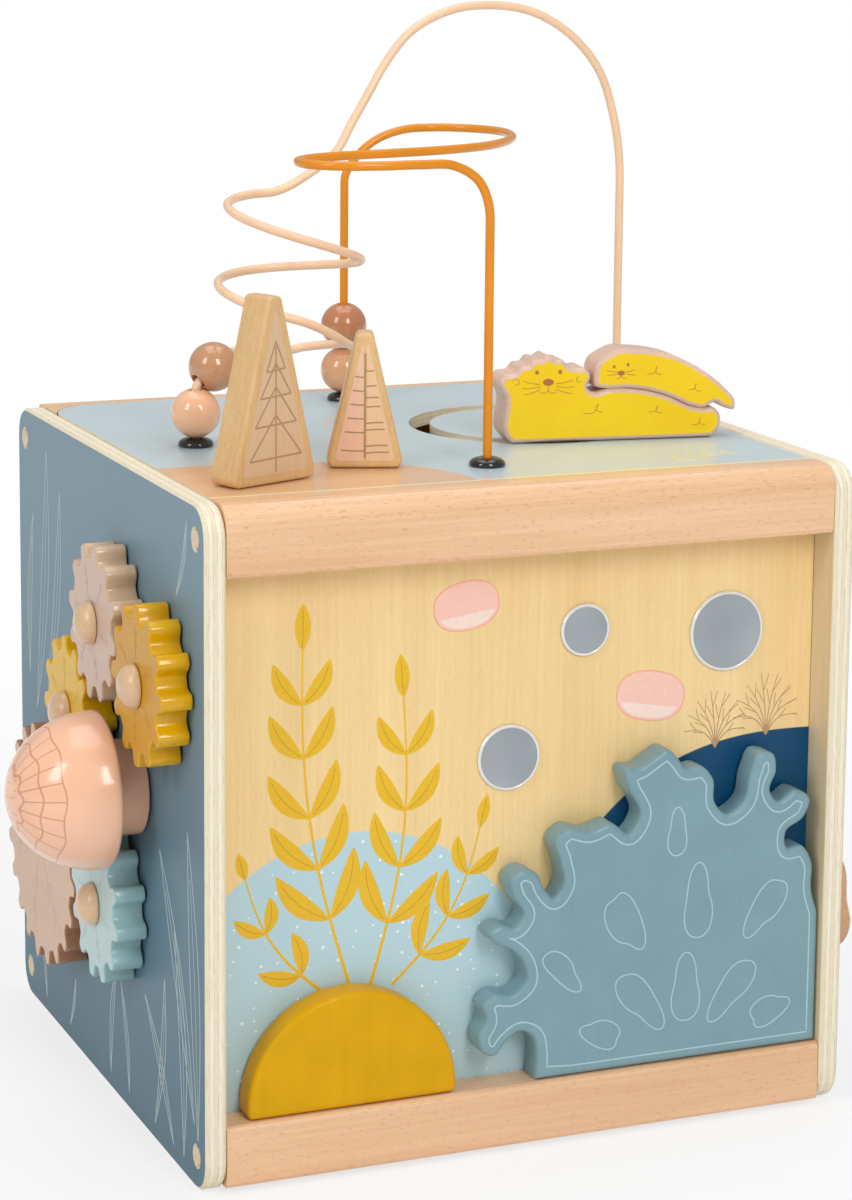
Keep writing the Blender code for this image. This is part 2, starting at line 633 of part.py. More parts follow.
def gears():
    """The five gears of the train: name, teeth, (y, z) and the angle of a tooth, each in mesh with the last."""
    train = [
        {"name": "gear_top", "teeth": SMALL_TEETH, "place": FIRST_GEAR, "tooth": GEAR_PHASE, "colour": "taupe"}
    ]
    for name, teeth, colour, mate, turn in (
        ("gear_front", SMALL_TEETH, "mustard", 0, FRONT_GEAR_TURN),
        ("gear_back", SMALL_TEETH, "yellow", 0, BACK_GEAR_TURN),
        ("gear_large", LARGE_TEETH, "beige", 2, LARGE_GEAR_TURN),
        ("gear_lower", SMALL_TEETH, "light_blue", 3, LOWER_GEAR_TURN),
    ):
        other = train[mate]
        distance = MODULE * (teeth + other["teeth"]) / 2 + MESH_PLAY
        tooth = turn + 180 - (other["tooth"] - turn) * other["teeth"] / teeth + 180 / teeth
        place = polar(distance, turn, other["place"])
        train.append({"name": name, "teeth": teeth, "place": place, "tooth": tooth, "colour": colour})
    return train


def gear_outline(teeth, tooth):
    """A wave of rounded teeth: a squared-off cosine between the root and the tip circle."""
    pitch = MODULE * teeth / 2
    root, tip = pitch - TOOTH_UNDER, pitch + TOOTH_OVER
    angles = np.arange(teeth * TOOTH_POINTS) * 2 * math.pi / (teeth * TOOTH_POINTS)
    low = math.tanh(TOOTH_SQUARE * (1 + TOOTH_NARROW))
    high = math.tanh(TOOTH_SQUARE * (1 - TOOTH_NARROW))
    wave = (np.tanh(TOOTH_SQUARE * (np.cos(teeth * angles) - TOOTH_NARROW)) + low) / (low + high)
    radius = root + (tip - root) * wave
    angles = angles + math.radians(tooth)
    return list(zip(radius * np.cos(angles), radius * np.sin(angles)))


def gear_train():
    """The gears with their pegs. The large gear turns on an axle that is glued in from behind."""
    x = LEFT - GEAR_STANDOFF - GEAR_THICK / 2
    face = x - GEAR_THICK / 2 - FIT
    for gear in gears():
        y, z = gear["place"]
        outline = gear_outline(gear["teeth"], gear["tooth"])
        name = gear["name"]
        if gear["teeth"] == SMALL_TEETH:
            holes = [circle(PEG_RADIUS + FIT, points=12)]
            plate(name, [outline, *holes], GEAR_THICK, gear["colour"], (x, y, z), ON_SIDE)
            gear_peg(f"{name}_peg", (face, y, z))
            continue
        body = as_mesh(plate(name, [outline], GEAR_THICK, gear["colour"], (x, y, z), ON_SIDE))
        back = x + GEAR_THICK / 2
        drill(body, f"{name}_bore", AXLE_RADIUS + FIT, 2 * (AXLE_INTO_GEAR + FIT), (back, y, z), OUT_LEFT)
        panel_axle(f"{name}_axle", GEAR_STANDOFF + AXLE_INTO_GEAR, (y, z))


def gear_peg(name, place):
    """A peg with a domed head, glued into the left panel."""
    length = GEAR_THICK + GEAR_STANDOFF + PANEL_THICK
    rise = PEG_HEAD_HEIGHT - PEG_HEAD_RIM
    dome = [
        (PEG_HEAD_RADIUS * math.cos(math.radians(a)), PEG_HEAD_RIM + rise * math.sin(math.radians(a)))
        for a in (65, 35, 0)
    ]
    profile = [(0, PEG_HEAD_HEIGHT), *dome, (PEG_HEAD_RADIUS, 0), (PEG_RADIUS, 0), (PEG_RADIUS, -length), (0, -length)]
    turned(name, profile, 16, "beech", place, OUT_LEFT)


def panel_axle(name, out, place):
    """An axle through the left panel, with a collar inside the cube and its outer end glued in what it carries."""
    collar = -PANEL_THICK - FIT
    profile = [
        (0, out), (AXLE_RADIUS, out), (AXLE_RADIUS, collar), (AXLE_COLLAR_RADIUS, collar),
        (AXLE_COLLAR_RADIUS, collar - AXLE_COLLAR_THICK), (0, collar - AXLE_COLLAR_THICK),
    ]
    turned(name, profile, 16, "beech", (LEFT, *place), OUT_LEFT)


def dome_knob():
    """A turned knob, an elliptical dome with a wide rim on a narrower neck, both glued to one axle."""
    place = (LEFT, *DOME)
    low, rim, neck = GEAR_STANDOFF, DOME_RIM_OUT, DOME_NECK_RADIUS
    crown = [
        (DOME_RADIUS * math.cos(math.radians(a)), rim + DOME_HEIGHT * math.sin(math.radians(a)))
        for a in range(78, -1, -12)
    ]
    under = rim - DOME_RIM_ROUND
    bore = AXLE_RADIUS + FIT
    cap = [
        (0, rim + DOME_HEIGHT), *crown, (DOME_RADIUS - DOME_RIM_ROUND, under),
        (bore, under), (bore, DOME_BORE_DEPTH), (0, DOME_BORE_DEPTH),
    ]
    turned("dome_knob", cap, 28, "peach", place, OUT_LEFT)
    top = under - FIT
    ring = [(neck, top), (neck, low + DOME_NECK_ROUND), (neck - DOME_NECK_ROUND, low), (bore, low), (bore, top)]
    turned("dome_neck", ring, 28, "peach", place, OUT_LEFT, bored=True)
    panel_axle("dome_axle", DOME_BORE_DEPTH - FIT, DOME)


def side_relief():
    """A fixed two-lobed piece on the right panel."""
    upper_radius, upper_in, upper_z = UPPER_LOBE
    lower_radius, lower_in, lower_z = LOWER_LOBE
    waist = SIDE_RELIEF_WAIST
    upper = [polar(upper_radius, a, (FRONT + upper_in, upper_z)) for a in range(0, 181, 15)]
    lower = [polar(lower_radius, a, (FRONT + lower_in, lower_z)) for a in range(180, 361, 15)]
    left = FRONT + min(upper_in - upper_radius, lower_in - lower_radius) + waist
    right = FRONT + max(upper_in + upper_radius, lower_in + lower_radius) - waist
    middle = (upper_z + lower_z) / 2
    outline = [*upper, (left, middle), *lower, (right, middle)]
    x = RIGHT + FIT + SIDE_RELIEF_DEPTH / 2
    plate("side_relief", [outline], SIDE_RELIEF_DEPTH, "beech", (x, 0, 0), ON_SIDE, RELIEF_EASE)


def tree_place(tree):
    """(x, y) of a tree's peg."""
    return (LEFT + tree[5], FRONT + tree[6])


def trees():
    """Tapered blocks that turn on pegs whose heads lie under the top panel."""
    for tree in TREES:
        name, width, height, thick, turn = tree[:5]
        x, y = tree_place(tree)
        tip = TREE_TIP_WIDTH / 2
        outline = rounded([
            (-width / 2, 0, TREE_FOOT_ROUND), (width / 2, 0, TREE_FOOT_ROUND),
            (tip, height, TREE_TIP_ROUND), (-tip, height, TREE_TIP_ROUND),
        ])
        rotation = (math.pi / 2, 0, math.radians(turn))
        block = as_mesh(plate(name, [outline], thick, "beech", (x, y, STAND), rotation, TREE_EASE))
        drill(block, f"{name}_bore", TREE_PEG_RADIUS + FIT, 2 * (TREE_PEG_DEPTH + FIT), (x, y, STAND))
        head, pin = TREE_PEG_HEAD_RADIUS, TREE_PEG_RADIUS
        under = TOP_UNDER - FIT - STAND
        profile = [
            (0, TREE_PEG_DEPTH), (pin, TREE_PEG_DEPTH), (pin, under), (head, under),
            (head, under - TREE_PEG_HEAD_THICK), (0, under - TREE_PEG_HEAD_THICK),
        ]
        turned(f"{name}_peg", profile, 16, "beech", (x, y, STAND))


def otters():
    """The otter and its young, glued at the seam between them, and the peg that runs in the ring slot."""
    x, y = polar(RING_RADIUS, OTTER_ANGLE, (RING_X, RING_Y))
    place = Vector((x, y, STAND))
    rotation = (math.pi / 2, 0, math.radians(OTTER_TURN))
    under = [(u, v - FIT / 2) for u, v in OTTER_SEAM]
    over = [(u, v + FIT / 2) for u, v in OTTER_SEAM]
    adult_outline = [*OTTER_HEAD, *under, *OTTER_BACK]
    for name, outline, sharp in (
        ("otter_adult", adult_outline, {0, len(adult_outline) - 1}),
        ("otter_young", [*over, *YOUNG_BACK], set()),
    ):
        made = as_mesh(smooth_plate(name, outline, sharp, OTTER_THICK, "otter_yellow", place, rotation, OTTER_EASE))
        if name == "otter_adult":
            drill(made, "slider_bore", SLIDER_STEM_RADIUS + FIT, 2 * (SLIDER_STEM_DEPTH + FIT), place)

    stem, flange = SLIDER_STEM_RADIUS, SLIDER_FLANGE_RADIUS
    shoulder = TOP_UNDER - SLIDER_PLAY - STAND
    profile = [
        (0, SLIDER_STEM_DEPTH), (stem, SLIDER_STEM_DEPTH), (stem, shoulder), (flange, shoulder),
        (flange, shoulder - SLIDER_FLANGE_THICK), (0, shoulder - SLIDER_FLANGE_THICK),
    ]
    turned("slider_peg", profile, 20, "beech", place)


def smooth(route, start, end):
    """Points along a curve through the route, which leaves and arrives in the given directions."""
    points = np.array([tuple(point) for point in route], float)
    spans = np.linalg.norm(np.diff(points, axis=0), axis=1)
    slopes = np.diff(points, axis=0) / spans[:, None]
    before, after = spans[:-1, None], spans[1:, None]
    inner = (slopes[1:] * before + slopes[:-1] * after) / (before + after)
    tangents = np.vstack([start, inner, end])
    path = [points[0]]
    for index, span in enumerate(spans):
        steps = max(1, round(span / WIRE_STEP))
        for t in np.arange(1, steps + 1) / steps:
            curve = (2 * t**3 - 3 * t**2 + 1) * points[index] + (3 * t**2 - 2 * t**3) * points[index + 1]
            curve += span * ((t**3 - 2 * t**2 + t) * tangents[index] + (t**3 - t**2) * tangents[index + 1])
            path.append(curve)
    return [Vector(point) for point in path]


def over_foot(foot, offsets):
    """Places in the world of points given from a wire's foot, with their height over the top."""
    return [Vector((FEET[foot].x + x, FEET[foot].y + y, TOP + z)) for x, y, z in offsets]


def coil():
    """The peach wire's coil, downwards from its back, and its tight return to the back."""
    left = FEET["peach_left"]
    route = []
    for degrees in np.arange(90, 720.1, COIL_STEP):
        down = (degrees - 90) / 630
        angle = math.radians(degrees)
        axis = COIL_TOP_AXIS + (COIL_LOW_AXIS - COIL_TOP_AXIS) * down
        height = COIL_START_HEIGHT - COIL_PITCH * (degrees - 180) / 360 - COIL_TILT * math.cos(angle)
        settle = max(0.0, (degrees - 630) / 90)
        settle = settle * settle * (3 - 2 * settle)
        height += (COIL_END_HEIGHT - height) * settle
        x = left.x + axis + COIL_RADIUS * math.cos(angle)
        y = left.y + COIL_AXIS_Y + COIL_RADIUS * math.sin(angle)
        route.append(Vector((x, y, TOP + height)))
    last = route[-1]
    for share in (0.25, 0.5, 0.75, 1.0):
        turn = polar(RETURN_RADIUS, RETURN_TURN * share, (last.x - RETURN_RADIUS, last.y))
        route.append(Vector((*turn, last.z - RETURN_DROP * share)))
    return route


def bend_point(degrees, inset=0.0):
    """A point of the bend into the left foot, where the wire heads this much below level."""
    angle, end = math.radians(degrees), math.radians(BEND_END)
    run = FOOT_BEND_RADIUS * (math.sin(end) - 1)
    height = FOOT_STRAIGHT + FOOT_BEND_RADIUS * math.cos(end)
    run += (BEND_RADIUS - inset) * math.sin(angle) - BEND_RADIUS * math.sin(end)
    height += (BEND_RADIUS - inset) * math.cos(angle) - BEND_RADIUS * math.cos(end)
    place = polar(run, BEND_HEADING, FEET["peach_left"])
    return Vector((*place, TOP + height))


def foot_bend():
    """The tight last bend, from the wide one to the straight above the left foot."""
    route = []
    for degrees in (BEND_END + 13, BEND_END + 27, 90):
        angle = math.radians(degrees)
        place = polar(FOOT_BEND_RADIUS * (math.sin(angle) - 1), BEND_HEADING, FEET["peach_left"])
        route.append(Vector((*place, TOP + FOOT_STRAIGHT + FOOT_BEND_RADIUS * math.cos(angle))))
    return route


def wire(name, path, colour):
    data = bpy.data.curves.new(name, "CURVE")
    data.dimensions = "3D"
    data.bevel_depth = WIRE_RADIUS
    data.bevel_resolution = 2
    data.use_fill_caps = True
    spline = data.splines.new("POLY")
    spline.points.add(len(path) - 1)
    spline.points.foreach_set("co", [v for point in path for v in (*point, 1)])
    placed(name, data, colour)


def wires():
    """Both bead wires, each from below the nut at one foot to below the nut at the other."""
    low = TOP_UNDER - WIRE_TAIL - TOP
    up, down = (0, 0, 1), (0, 0, -1)
    front_path = over_foot("orange_front", ((0, 0, LEG_TOP), *ORANGE_FRONT_PATH))
    back_path = over_foot("orange_back", (*ORANGE_BACK_PATH, (0, 0, LEG_TOP)))
    orange = over_foot("orange_front", [(0, 0, low)])
    orange += smooth([*front_path, *back_path], up, down)
    orange += over_foot("orange_back", [(0, 0, low)])
    wire("wire_orange", orange, "orange_wire")

    arch = over_foot("peach_right", ((0, 0, LEG_TOP), *PEACH_ARCH_RIGHT)) + over_foot("peach_left", PEACH_ARCH_LEFT)
    turns = coil()
    bend = [bend_point(angle) for angle in np.arange(BEND_START, BEND_END + 0.1, BEND_PITCH)]
    heading = (bend[0] - turns[-1]).normalized()
    peach = over_foot("peach_right", [(0, 0, low)])
    peach += smooth([*arch, *turns], up, heading)
    peach += bend + foot_bend()
    peach += over_foot("peach_left", [(0, 0, low)])
    wire("wire_peach", peach, "peach_wire")


def wire_feet():
    """A black cup over each place where a wire enters the top, and a nut under it."""
    bore = WIRE_RADIUS + WIRE_HOLE_PLAY
    hexagon = circle(NUT_FLATS / math.sqrt(3), points=6)
    for label, foot in FEET.items():
        profile = [
            (CUP_TOP_RADIUS, CUP_HEIGHT), (CUP_MIDDLE_RADIUS, CUP_HEIGHT / 2), (CUP_RADIUS, CUP_RIM),
            (CUP_RADIUS, 0), (bore, 0), (bore, CUP_HEIGHT),
        ]
        turned(f"cup_{label}", profile, 16, "black_cup", (*foot, STAND), bored=True)
        z = TOP_UNDER - FIT - NUT_THICK / 2
        plate(f"nut_{label}", [hexagon, circle(bore, points=12)], NUT_THICK, "steel", (*foot, z))


def bead_half():
    """Half the length of a bead's bore."""
    return math.sqrt(BEAD_RADIUS**2 - BEAD_BORE_RADIUS**2)


def bead(name, place, colour, direction=(0, 0, 1)):
    half = bead_half()
    first = math.degrees(math.asin(half / BEAD_RADIUS))
    steps = 7
    profile = [polar(BEAD_RADIUS, first - 2 * first * k / steps) for k in range(steps + 1)]
    rotation = Vector(direction).to_track_quat("Z", "Y").to_euler()
    turned(name, profile, BEAD_STEPS, colour, place, rotation, bored=True)


def beads():
    """Two beads on the orange wire's back leg, one over the peach wire's left foot and one on its bend."""
    seat = STAND + CUP_HEIGHT + FIT + bead_half()
    step = 2 * bead_half() + FIT
    bead("bead_tan", (*FEET["orange_back"], seat), "tan_bead")
    bead("bead_terracotta", (*FEET["orange_back"], seat + step), "terracotta_bead")
    bead("bead_pink", (*FEET["peach_left"], seat), "pink_bead")
    rest = BEND_END - math.degrees((bead_half() + FIT) / BEND_RADIUS)
    sag = BEND_RADIUS - math.sqrt(BEND_RADIUS**2 - bead_half() ** 2)
    direction = bend_point(rest + 1) - bend_point(rest - 1)
    bead("bead_brown", bend_point(rest, sag / 2), "brown_bead", direction)


def centred():
    """Moves everything sideways, so that the origin is under the middle of the whole box."""
    for obj in (*PARTS.objects, *CUTTERS.objects):
        obj.location.x -= OFF_CENTRE


def sharpened():
    """Shades round pieces smooth, with their edges kept sharp."""
    for obj in PARTS.objects:
        if obj.type == "MESH" and len(obj.data.polygons):
            obj.data.shade_smooth()
            obj.data.set_sharp_from_angle(angle=math.radians(35))


side_panels()
rails()
dowels()
face_panels()
top_boards()
mirrors()
front_reliefs()
gear_train()
dome_knob()
side_relief()
trees()
otters()
wires()
wire_feet()
beads()
centred()
sharpened()
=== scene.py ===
import json
import math

import bmesh
import bpy
import numpy as np
from mathutils import Matrix, Vector


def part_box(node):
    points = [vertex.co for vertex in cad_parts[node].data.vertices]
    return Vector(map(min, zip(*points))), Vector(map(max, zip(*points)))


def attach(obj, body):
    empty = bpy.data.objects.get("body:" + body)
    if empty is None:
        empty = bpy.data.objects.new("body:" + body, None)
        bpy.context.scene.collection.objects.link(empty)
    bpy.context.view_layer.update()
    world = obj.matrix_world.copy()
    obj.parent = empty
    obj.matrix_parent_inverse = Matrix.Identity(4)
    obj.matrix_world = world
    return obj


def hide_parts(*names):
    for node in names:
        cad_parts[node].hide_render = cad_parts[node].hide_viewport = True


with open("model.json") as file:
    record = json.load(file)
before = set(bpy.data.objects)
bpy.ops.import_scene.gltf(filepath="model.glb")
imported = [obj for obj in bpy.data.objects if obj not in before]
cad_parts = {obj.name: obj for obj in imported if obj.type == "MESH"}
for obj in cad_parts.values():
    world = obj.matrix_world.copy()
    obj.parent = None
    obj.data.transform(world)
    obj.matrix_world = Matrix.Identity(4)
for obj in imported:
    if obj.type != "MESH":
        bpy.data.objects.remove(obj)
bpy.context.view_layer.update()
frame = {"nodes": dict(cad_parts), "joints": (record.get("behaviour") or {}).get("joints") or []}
print("frame loaded")

# What several pieces share, in metres: the cube's middle, top, half width and front, and a print's thickness
cube = {
    "middle": 0.0216, "top": 0.293, "half": 0.150, "frontPanel": -0.123,
    "printSunk": 0.00003, "printProud": 0.00008,
}
creaseAngle = 38  # edges sharper than this show as edges


def mm(*values):
    # Lengths or points written in millimetres, as metres
    return np.array(values, float) / 1000


def screen(red, green, blue):
    # The linear values of a colour as it shows on a screen
    shown = np.array((red, green, blue), float)
    return np.where(shown <= 0.04045, shown / 12.92, ((shown + 0.055) / 1.055) ** 2.4)


def scaled(colour, share):
    return tuple(share * c for c in colour)


class Signal:
    # What comes out of a node, so that a sum of such values is written as a sum of numbers is
    def __init__(self, finish, socket):
        self.finish, self.socket = finish, socket

    def __add__(self, other):
        return self.finish.math("ADD", self, other)

    def __sub__(self, other):
        return self.finish.math("SUBTRACT", self, other)

    def __mul__(self, other):
        return self.finish.math("MULTIPLY", self, other)

    def __truediv__(self, other):
        return self.finish.math("DIVIDE", self, other)

    def __pow__(self, other):
        return self.finish.math("POWER", self, other)

    def __abs__(self):
        return self.finish.math("ABSOLUTE", self)


class Finish:
    # A material being put together from nodes around its Principled shader
    def __init__(self, name, roughness=0.5, metallic=0.0, coat=0.0, coatRoughness=0.1, specular=0.5):
        self.material = bpy.data.materials.new(name)
        self.material.use_nodes = True
        self.nodes, self.links = self.material.node_tree.nodes, self.material.node_tree.links
        self.shader = self.nodes["Principled BSDF"]
        for socket, value in (
            ("Roughness", roughness), ("Metallic", metallic), ("Coat Weight", coat),
            ("Coat Roughness", coatRoughness), ("Specular IOR Level", specular),
        ):
            self.shader.inputs[socket].default_value = value
        coordinates = self.nodes.new("ShaderNodeTexCoord").outputs
        self.place, self.normal = Signal(self, coordinates["Object"]), Signal(self, coordinates["Normal"])

    def feed(self, socket, value):
        # A colour is given as a screen shows it, or as an array that screen() has made linear
        if isinstance(value, Signal):
            self.links.new(value.socket, socket)
        elif socket.type == "RGBA":
            socket.default_value = (*(value if isinstance(value, np.ndarray) else screen(*value)), 1.0)
        else:
            socket.default_value = value

    def add(self, kind, inputs, out=0, **settings):
        made = self.nodes.new(f"ShaderNode{kind}")
        for name, value in settings.items():
            setattr(made, name, value)
        for key, value in inputs.items():
            self.feed(made.inputs[key], value)
        return Signal(self, made.outputs[out])

    def math(self, operation, *values):
        return self.add("Math", dict(enumerate(values)), operation=operation)

    def remap(self, value, low, high, first=0.0, last=1.0):
        return self.add("MapRange", dict(enumerate((value, low, high, first, last))))

    def over(self, value, edge, soft):
        # 1 where the value is past the edge, 0 before it, with a soft change between
        return self.remap(value, edge - soft, edge + soft)

    def under(self, value, edge, soft):
        return self.remap(value, edge - soft, edge + soft, 1.0, 0.0)

    def mix(self, share, first, second):
        return self.add("Mix", {0: share, 6: first, 7: second}, 2, data_type="RGBA")

    def clouded(self, cloud, first, second):
        # One colour that goes over into another where a slow noise is high
        return self.mix(self.remap(cloud, 0.3, 0.7), first, second)

    def parts(self, vector):
        made = self.add("SeparateXYZ", {0: vector}).socket.node
        return [Signal(self, socket) for socket in made.outputs]

    def mapped(self, vector, scale=(1, 1, 1), shift=(0, 0, 0)):
        return self.add("Mapping", {"Vector": vector, "Scale": scale, "Location": shift})

    def noise(self, vector, scale=1.0, detail=2.0):
        return self.add("TexNoise", {"Vector": vector, "Scale": scale, "Detail": detail})

    def spots(self, x, y, scale):
        # The distance to the nearest of many points scattered over a plane, and each point's own value
        place = self.mapped(self.add("CombineXYZ", {0: x, 1: y, 2: 0.0}), (scale, scale, scale))
        far = self.add("TexVoronoi", {"Vector": place, "Scale": 1.0}, "Distance", voronoi_dimensions="2D")
        return far, self.parts(Signal(self, far.socket.node.outputs["Color"]))[0]

    def inside(self, x, y, area, soft):
        # 1 in a squared ellipse: the two distances over their reaches, each to the power, come to less than 1
        across, along = (abs((way - area["centre"][k]) / area["reach"][k]) for k, way in enumerate((x, y)))
        return self.under(across ** area["power"] + along ** area["power"], 1.0, soft)

    def bump(self, height, distance, strength):
        bent = self.add("Bump", {"Height": height, "Distance": distance, "Strength": strength})
        self.feed(self.shader.inputs["Normal"], bent)

    def colour(self, value):
        self.feed(self.shader.inputs["Base Color"], value)

    def rough(self, value):
        self.feed(self.shader.inputs["Roughness"], value)


def grained(finish, light, dark, axis, flecks):
    # Wood colour: broad bands and fine streaks stretched along the grain, and short dark dashes on it
    stretch = {"x": lambda a, b: (a, b, b), "y": lambda a, b: (b, a, b), "z": lambda a, b: (b, b, a)}[axis]
    broad = finish.noise(finish.mapped(finish.place, stretch(3, 42)), detail=3)
    fine = finish.noise(finish.mapped(finish.place, stretch(14, 520)))
    dashes = finish.noise(finish.mapped(finish.place, stretch(260, 1500)), detail=1)
    body = finish.mix(finish.remap(broad * 0.75 + fine * 0.45, 0.36, 0.84), light, dark)
    dash = finish.over(dashes, 0.655, 0.03) * flecks
    return finish.mix(dash, body, screen(*dark) * (0.74, 0.62, 0.52)), fine + dash * -0.6


def woodFinish(name, light, dark, axis, flecks, roughness=0.45, coat=0.15, coatRoughness=0.3, pores=0.00006):
    made = Finish(name, roughness, coat=coat, coatRoughness=coatRoughness)
    colour, height = grained(made, light, dark, axis, flecks)
    made.colour(colour)
    made.bump(height, pores, 0.35)
    return made.material


def paintFinish(name, colour, grain, roughness=0.34, coat=0.15, specular=0.35):
    # Paint: the colour a little uneven, a trace of the grain under it, and the fine skin of a sprayed coat
    made = Finish(name, roughness, coat=coat, coatRoughness=0.15, specular=specular)
    shade = made.clouded(made.noise(made.place, 45, 3), colour, scaled(colour, 0.955))
    streak = made.noise(made.mapped(made.place, (420, 420, 12)))
    made.colour(made.mix(made.over(streak, 0.62, 0.1) * grain, shade, scaled(colour, 0.86)))
    made.bump(made.noise(made.place, 700) + streak * (2 * grain), 0.00003, 0.4)
    return made.material


def plyEdge(finish, across, along):
    # The edge of plywood: pale layers in turn lighter and darker, with thin broken lines of glue between them
    layer = across * 5.0
    turnabout = finish.over(finish.math("SINE", layer * math.pi), 0.0, 0.25)
    pores = finish.noise(along)
    pale = finish.mix(turnabout, (0.955, 0.925, 0.835), (0.925, 0.880, 0.775))
    pale = finish.mix(finish.over(pores, 0.62, 0.06) * 0.35, pale, (0.80, 0.70, 0.55))
    seam = abs(finish.math("FRACT", layer) - 0.5)
    glue = finish.over(seam, 0.455, 0.02) * finish.remap(pores, 0.35, 0.65, 0.10, 0.70)
    return finish.mix(glue, pale, (0.72, 0.60, 0.46))


def inkFinish(name, colour):
    # Printing ink: the colour a little thinner here and there
    made = Finish(name, 0.45)
    thin = made.noise(made.place, 900)
    paler = tuple(min(1.0, 1.025 * c + 0.01) for c in colour)
    made.colour(made.mix(made.remap(thin, 0.4, 0.75), colour, paler))
    made.rough(made.remap(thin, 0.2, 0.8, 0.40, 0.53))
    return made.material


def sheet(points, loopRows=False, loopAcross=False, capped=False):
    # One surface of a mesh: a grid of points, whether its rows or its columns run round, and its end caps
    return {"grid": np.asarray(points, float), "rows": loopRows, "across": loopAcross, "capped": capped}


def meshOf(name, sheets):
    # Quads between neighbouring points of each grid, with flat caps over the first and last rows
    points, faces, count = [], [], 0
    for one in sheets:
        grid = one["grid"]
        high, wide = grid.shape[:2]
        index = np.arange(high * wide).reshape(high, wide) + count
        ends = [index[0, ::-1].tolist(), index[-1].tolist()] if one["capped"] else []
        if one["rows"]:
            index = np.vstack([index, index[:1]])
        if one["across"]:
            index = np.hstack([index, index[:, :1]])
        quads = np.stack([index[:-1, :-1], index[1:, :-1], index[1:, 1:], index[:-1, 1:]], -1)
        faces += quads.reshape(-1, 4).tolist() + ends
        points.append(grid.reshape(-1, 3))
        count += high * wide
    mesh = bpy.data.meshes.new(name)
    mesh.from_pydata(np.vstack(points).tolist(), [], faces)
    shape = bmesh.new()
    shape.from_mesh(mesh)
    bmesh.ops.remove_doubles(shape, verts=shape.verts, dist=0.000002)
    bmesh.ops.recalc_face_normals(shape, faces=shape.faces)
    shape.to_mesh(mesh)
    shape.free()
    mesh.shade_smooth()
    mesh.set_sharp_from_angle(angle=math.radians(creaseAngle))
    return mesh


def addObject(name, data, finish=None):
    made = bpy.data.objects.new(name, data)
    if finish:
        data.materials.append(finish)
    bpy.context.scene.collection.objects.link(made)
    return made


def addPiece(name, sheets, finish, body="root", slot=None, standsFor=()):
    piece = addObject(name, meshOf(name, sheets), finish)
    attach(piece, body)
    if standsFor:
        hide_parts(*standsFor)


def dress(finish, *nodes):
    # Gives CAD nodes a finish in place of their plain one
    for node in nodes:
        piece = frame["nodes"][node]
        if piece.data.materials:
            piece.data.materials[0] = finish
        else:
            piece.data.materials.append(finish)


def unit(vectors):
    return vectors / np.maximum(np.linalg.norm(vectors, axis=-1), 1e-9)[..., None]


def ray(angle, length=1.0):
    # A flat step of that length at an angle in radians
    return length * np.array([math.cos(angle), math.sin(angle)])


def turnedBy(points, angle):
    x, y = np.asarray(points).T
    cosine, sine = math.cos(angle), math.sin(angle)
    return np.stack([x * cosine - y * sine, x * sine + y * cosine], -1)


def oval(reach, steps):
    # Points round an ellipse with those half axes
    around = np.arange(steps) * 2 * math.pi / steps
    return np.stack([reach[0] * np.cos(around), reach[1] * np.sin(around)], -1)


def arc(centre, radius, first, last, steps):
    # Points on part of a circle, from one angle in degrees to another
    angles = np.radians(np.linspace(first, last, steps + 1))
    return np.stack([centre[0] + radius * np.cos(angles), centre[1] + radius * np.sin(angles)], -1)


def cubic(points, leaving, arriving, side, share):
    # Points on a curve: on each side a cubic between its two ends, with the slope that each end has
    spans = np.linalg.norm(np.diff(np.vstack([points, points[:1]]), axis=0), axis=1)[side][:, None]
    after = (side + 1) % len(points)
    t = share[:, None]
    place = (2 * t**3 - 3 * t**2 + 1) * points[side] + (3 * t**2 - 2 * t**3) * points[after]
    return place + spans * ((t**3 - 2 * t**2 + t) * leaving[side] + (t**3 - t**2) * arriving[after])


def closedCurve(points, perSide, sharp=()):
    # A closed curve through the points. A slope is the mean of the two sides' weighted by nearness
    sides = np.roll(points, -1, 0) - points
    spans = np.linalg.norm(sides, axis=1)[:, None]
    slopes = sides / spans
    before, spansBefore = np.roll(slopes, 1, 0), np.roll(spans, 1, 0)
    tangents = (slopes * spansBefore + before * spans) / (spans + spansBefore)
    leaving, arriving = tangents.copy(), tangents.copy()
    sharp = list(sharp)
    leaving[sharp], arriving[sharp] = slopes[sharp], before[sharp]
    side = np.repeat(np.arange(len(points)), perSide)
    return cubic(points, leaving, arriving, side, np.tile(np.arange(perSide) / perSide, len(points)))


def openCurve(points, step, start, end):
    # The same through an open row of points, with the directions in which it starts and ends
    sides = np.diff(points, axis=0)
    spans = np.linalg.norm(sides, axis=1)[:, None]
    slopes = sides / spans
    inner = (slopes[1:] * spans[:-1] + slopes[:-1] * spans[1:]) / (spans[1:] + spans[:-1])
    tangents = np.vstack([start, inner, end])
    counts = np.maximum(1, np.round(spans[:, 0] / step)).astype(int)
    side = np.repeat(np.arange(len(counts)), counts)
    share = (np.arange(counts.sum()) - np.repeat(np.cumsum(counts) - counts, counts)) / counts[side]
    return np.vstack([cubic(points, tangents, tangents, side, share), points[-1:]])


def turnedSheet(profile, origin, axis, steps, looped=False):
    # A circle carried along a profile of (radius, height) about an axis through the origin
    axis = Vector(axis).normalized()
    across = axis.orthogonal().normalized()
    frameRows = np.array([across, axis.cross(across), axis])
    profile = np.asarray(profile, float)
    angles = np.arange(steps) * 2 * math.pi / steps
    local = np.stack([
        profile[:, :1] * np.cos(angles), profile[:, :1] * np.sin(angles),
        np.repeat(profile[:, 1:], steps, axis=1),
    ], -1)
    return sheet(local @ frameRows + np.array(origin), loopRows=looped, loopAcross=True)


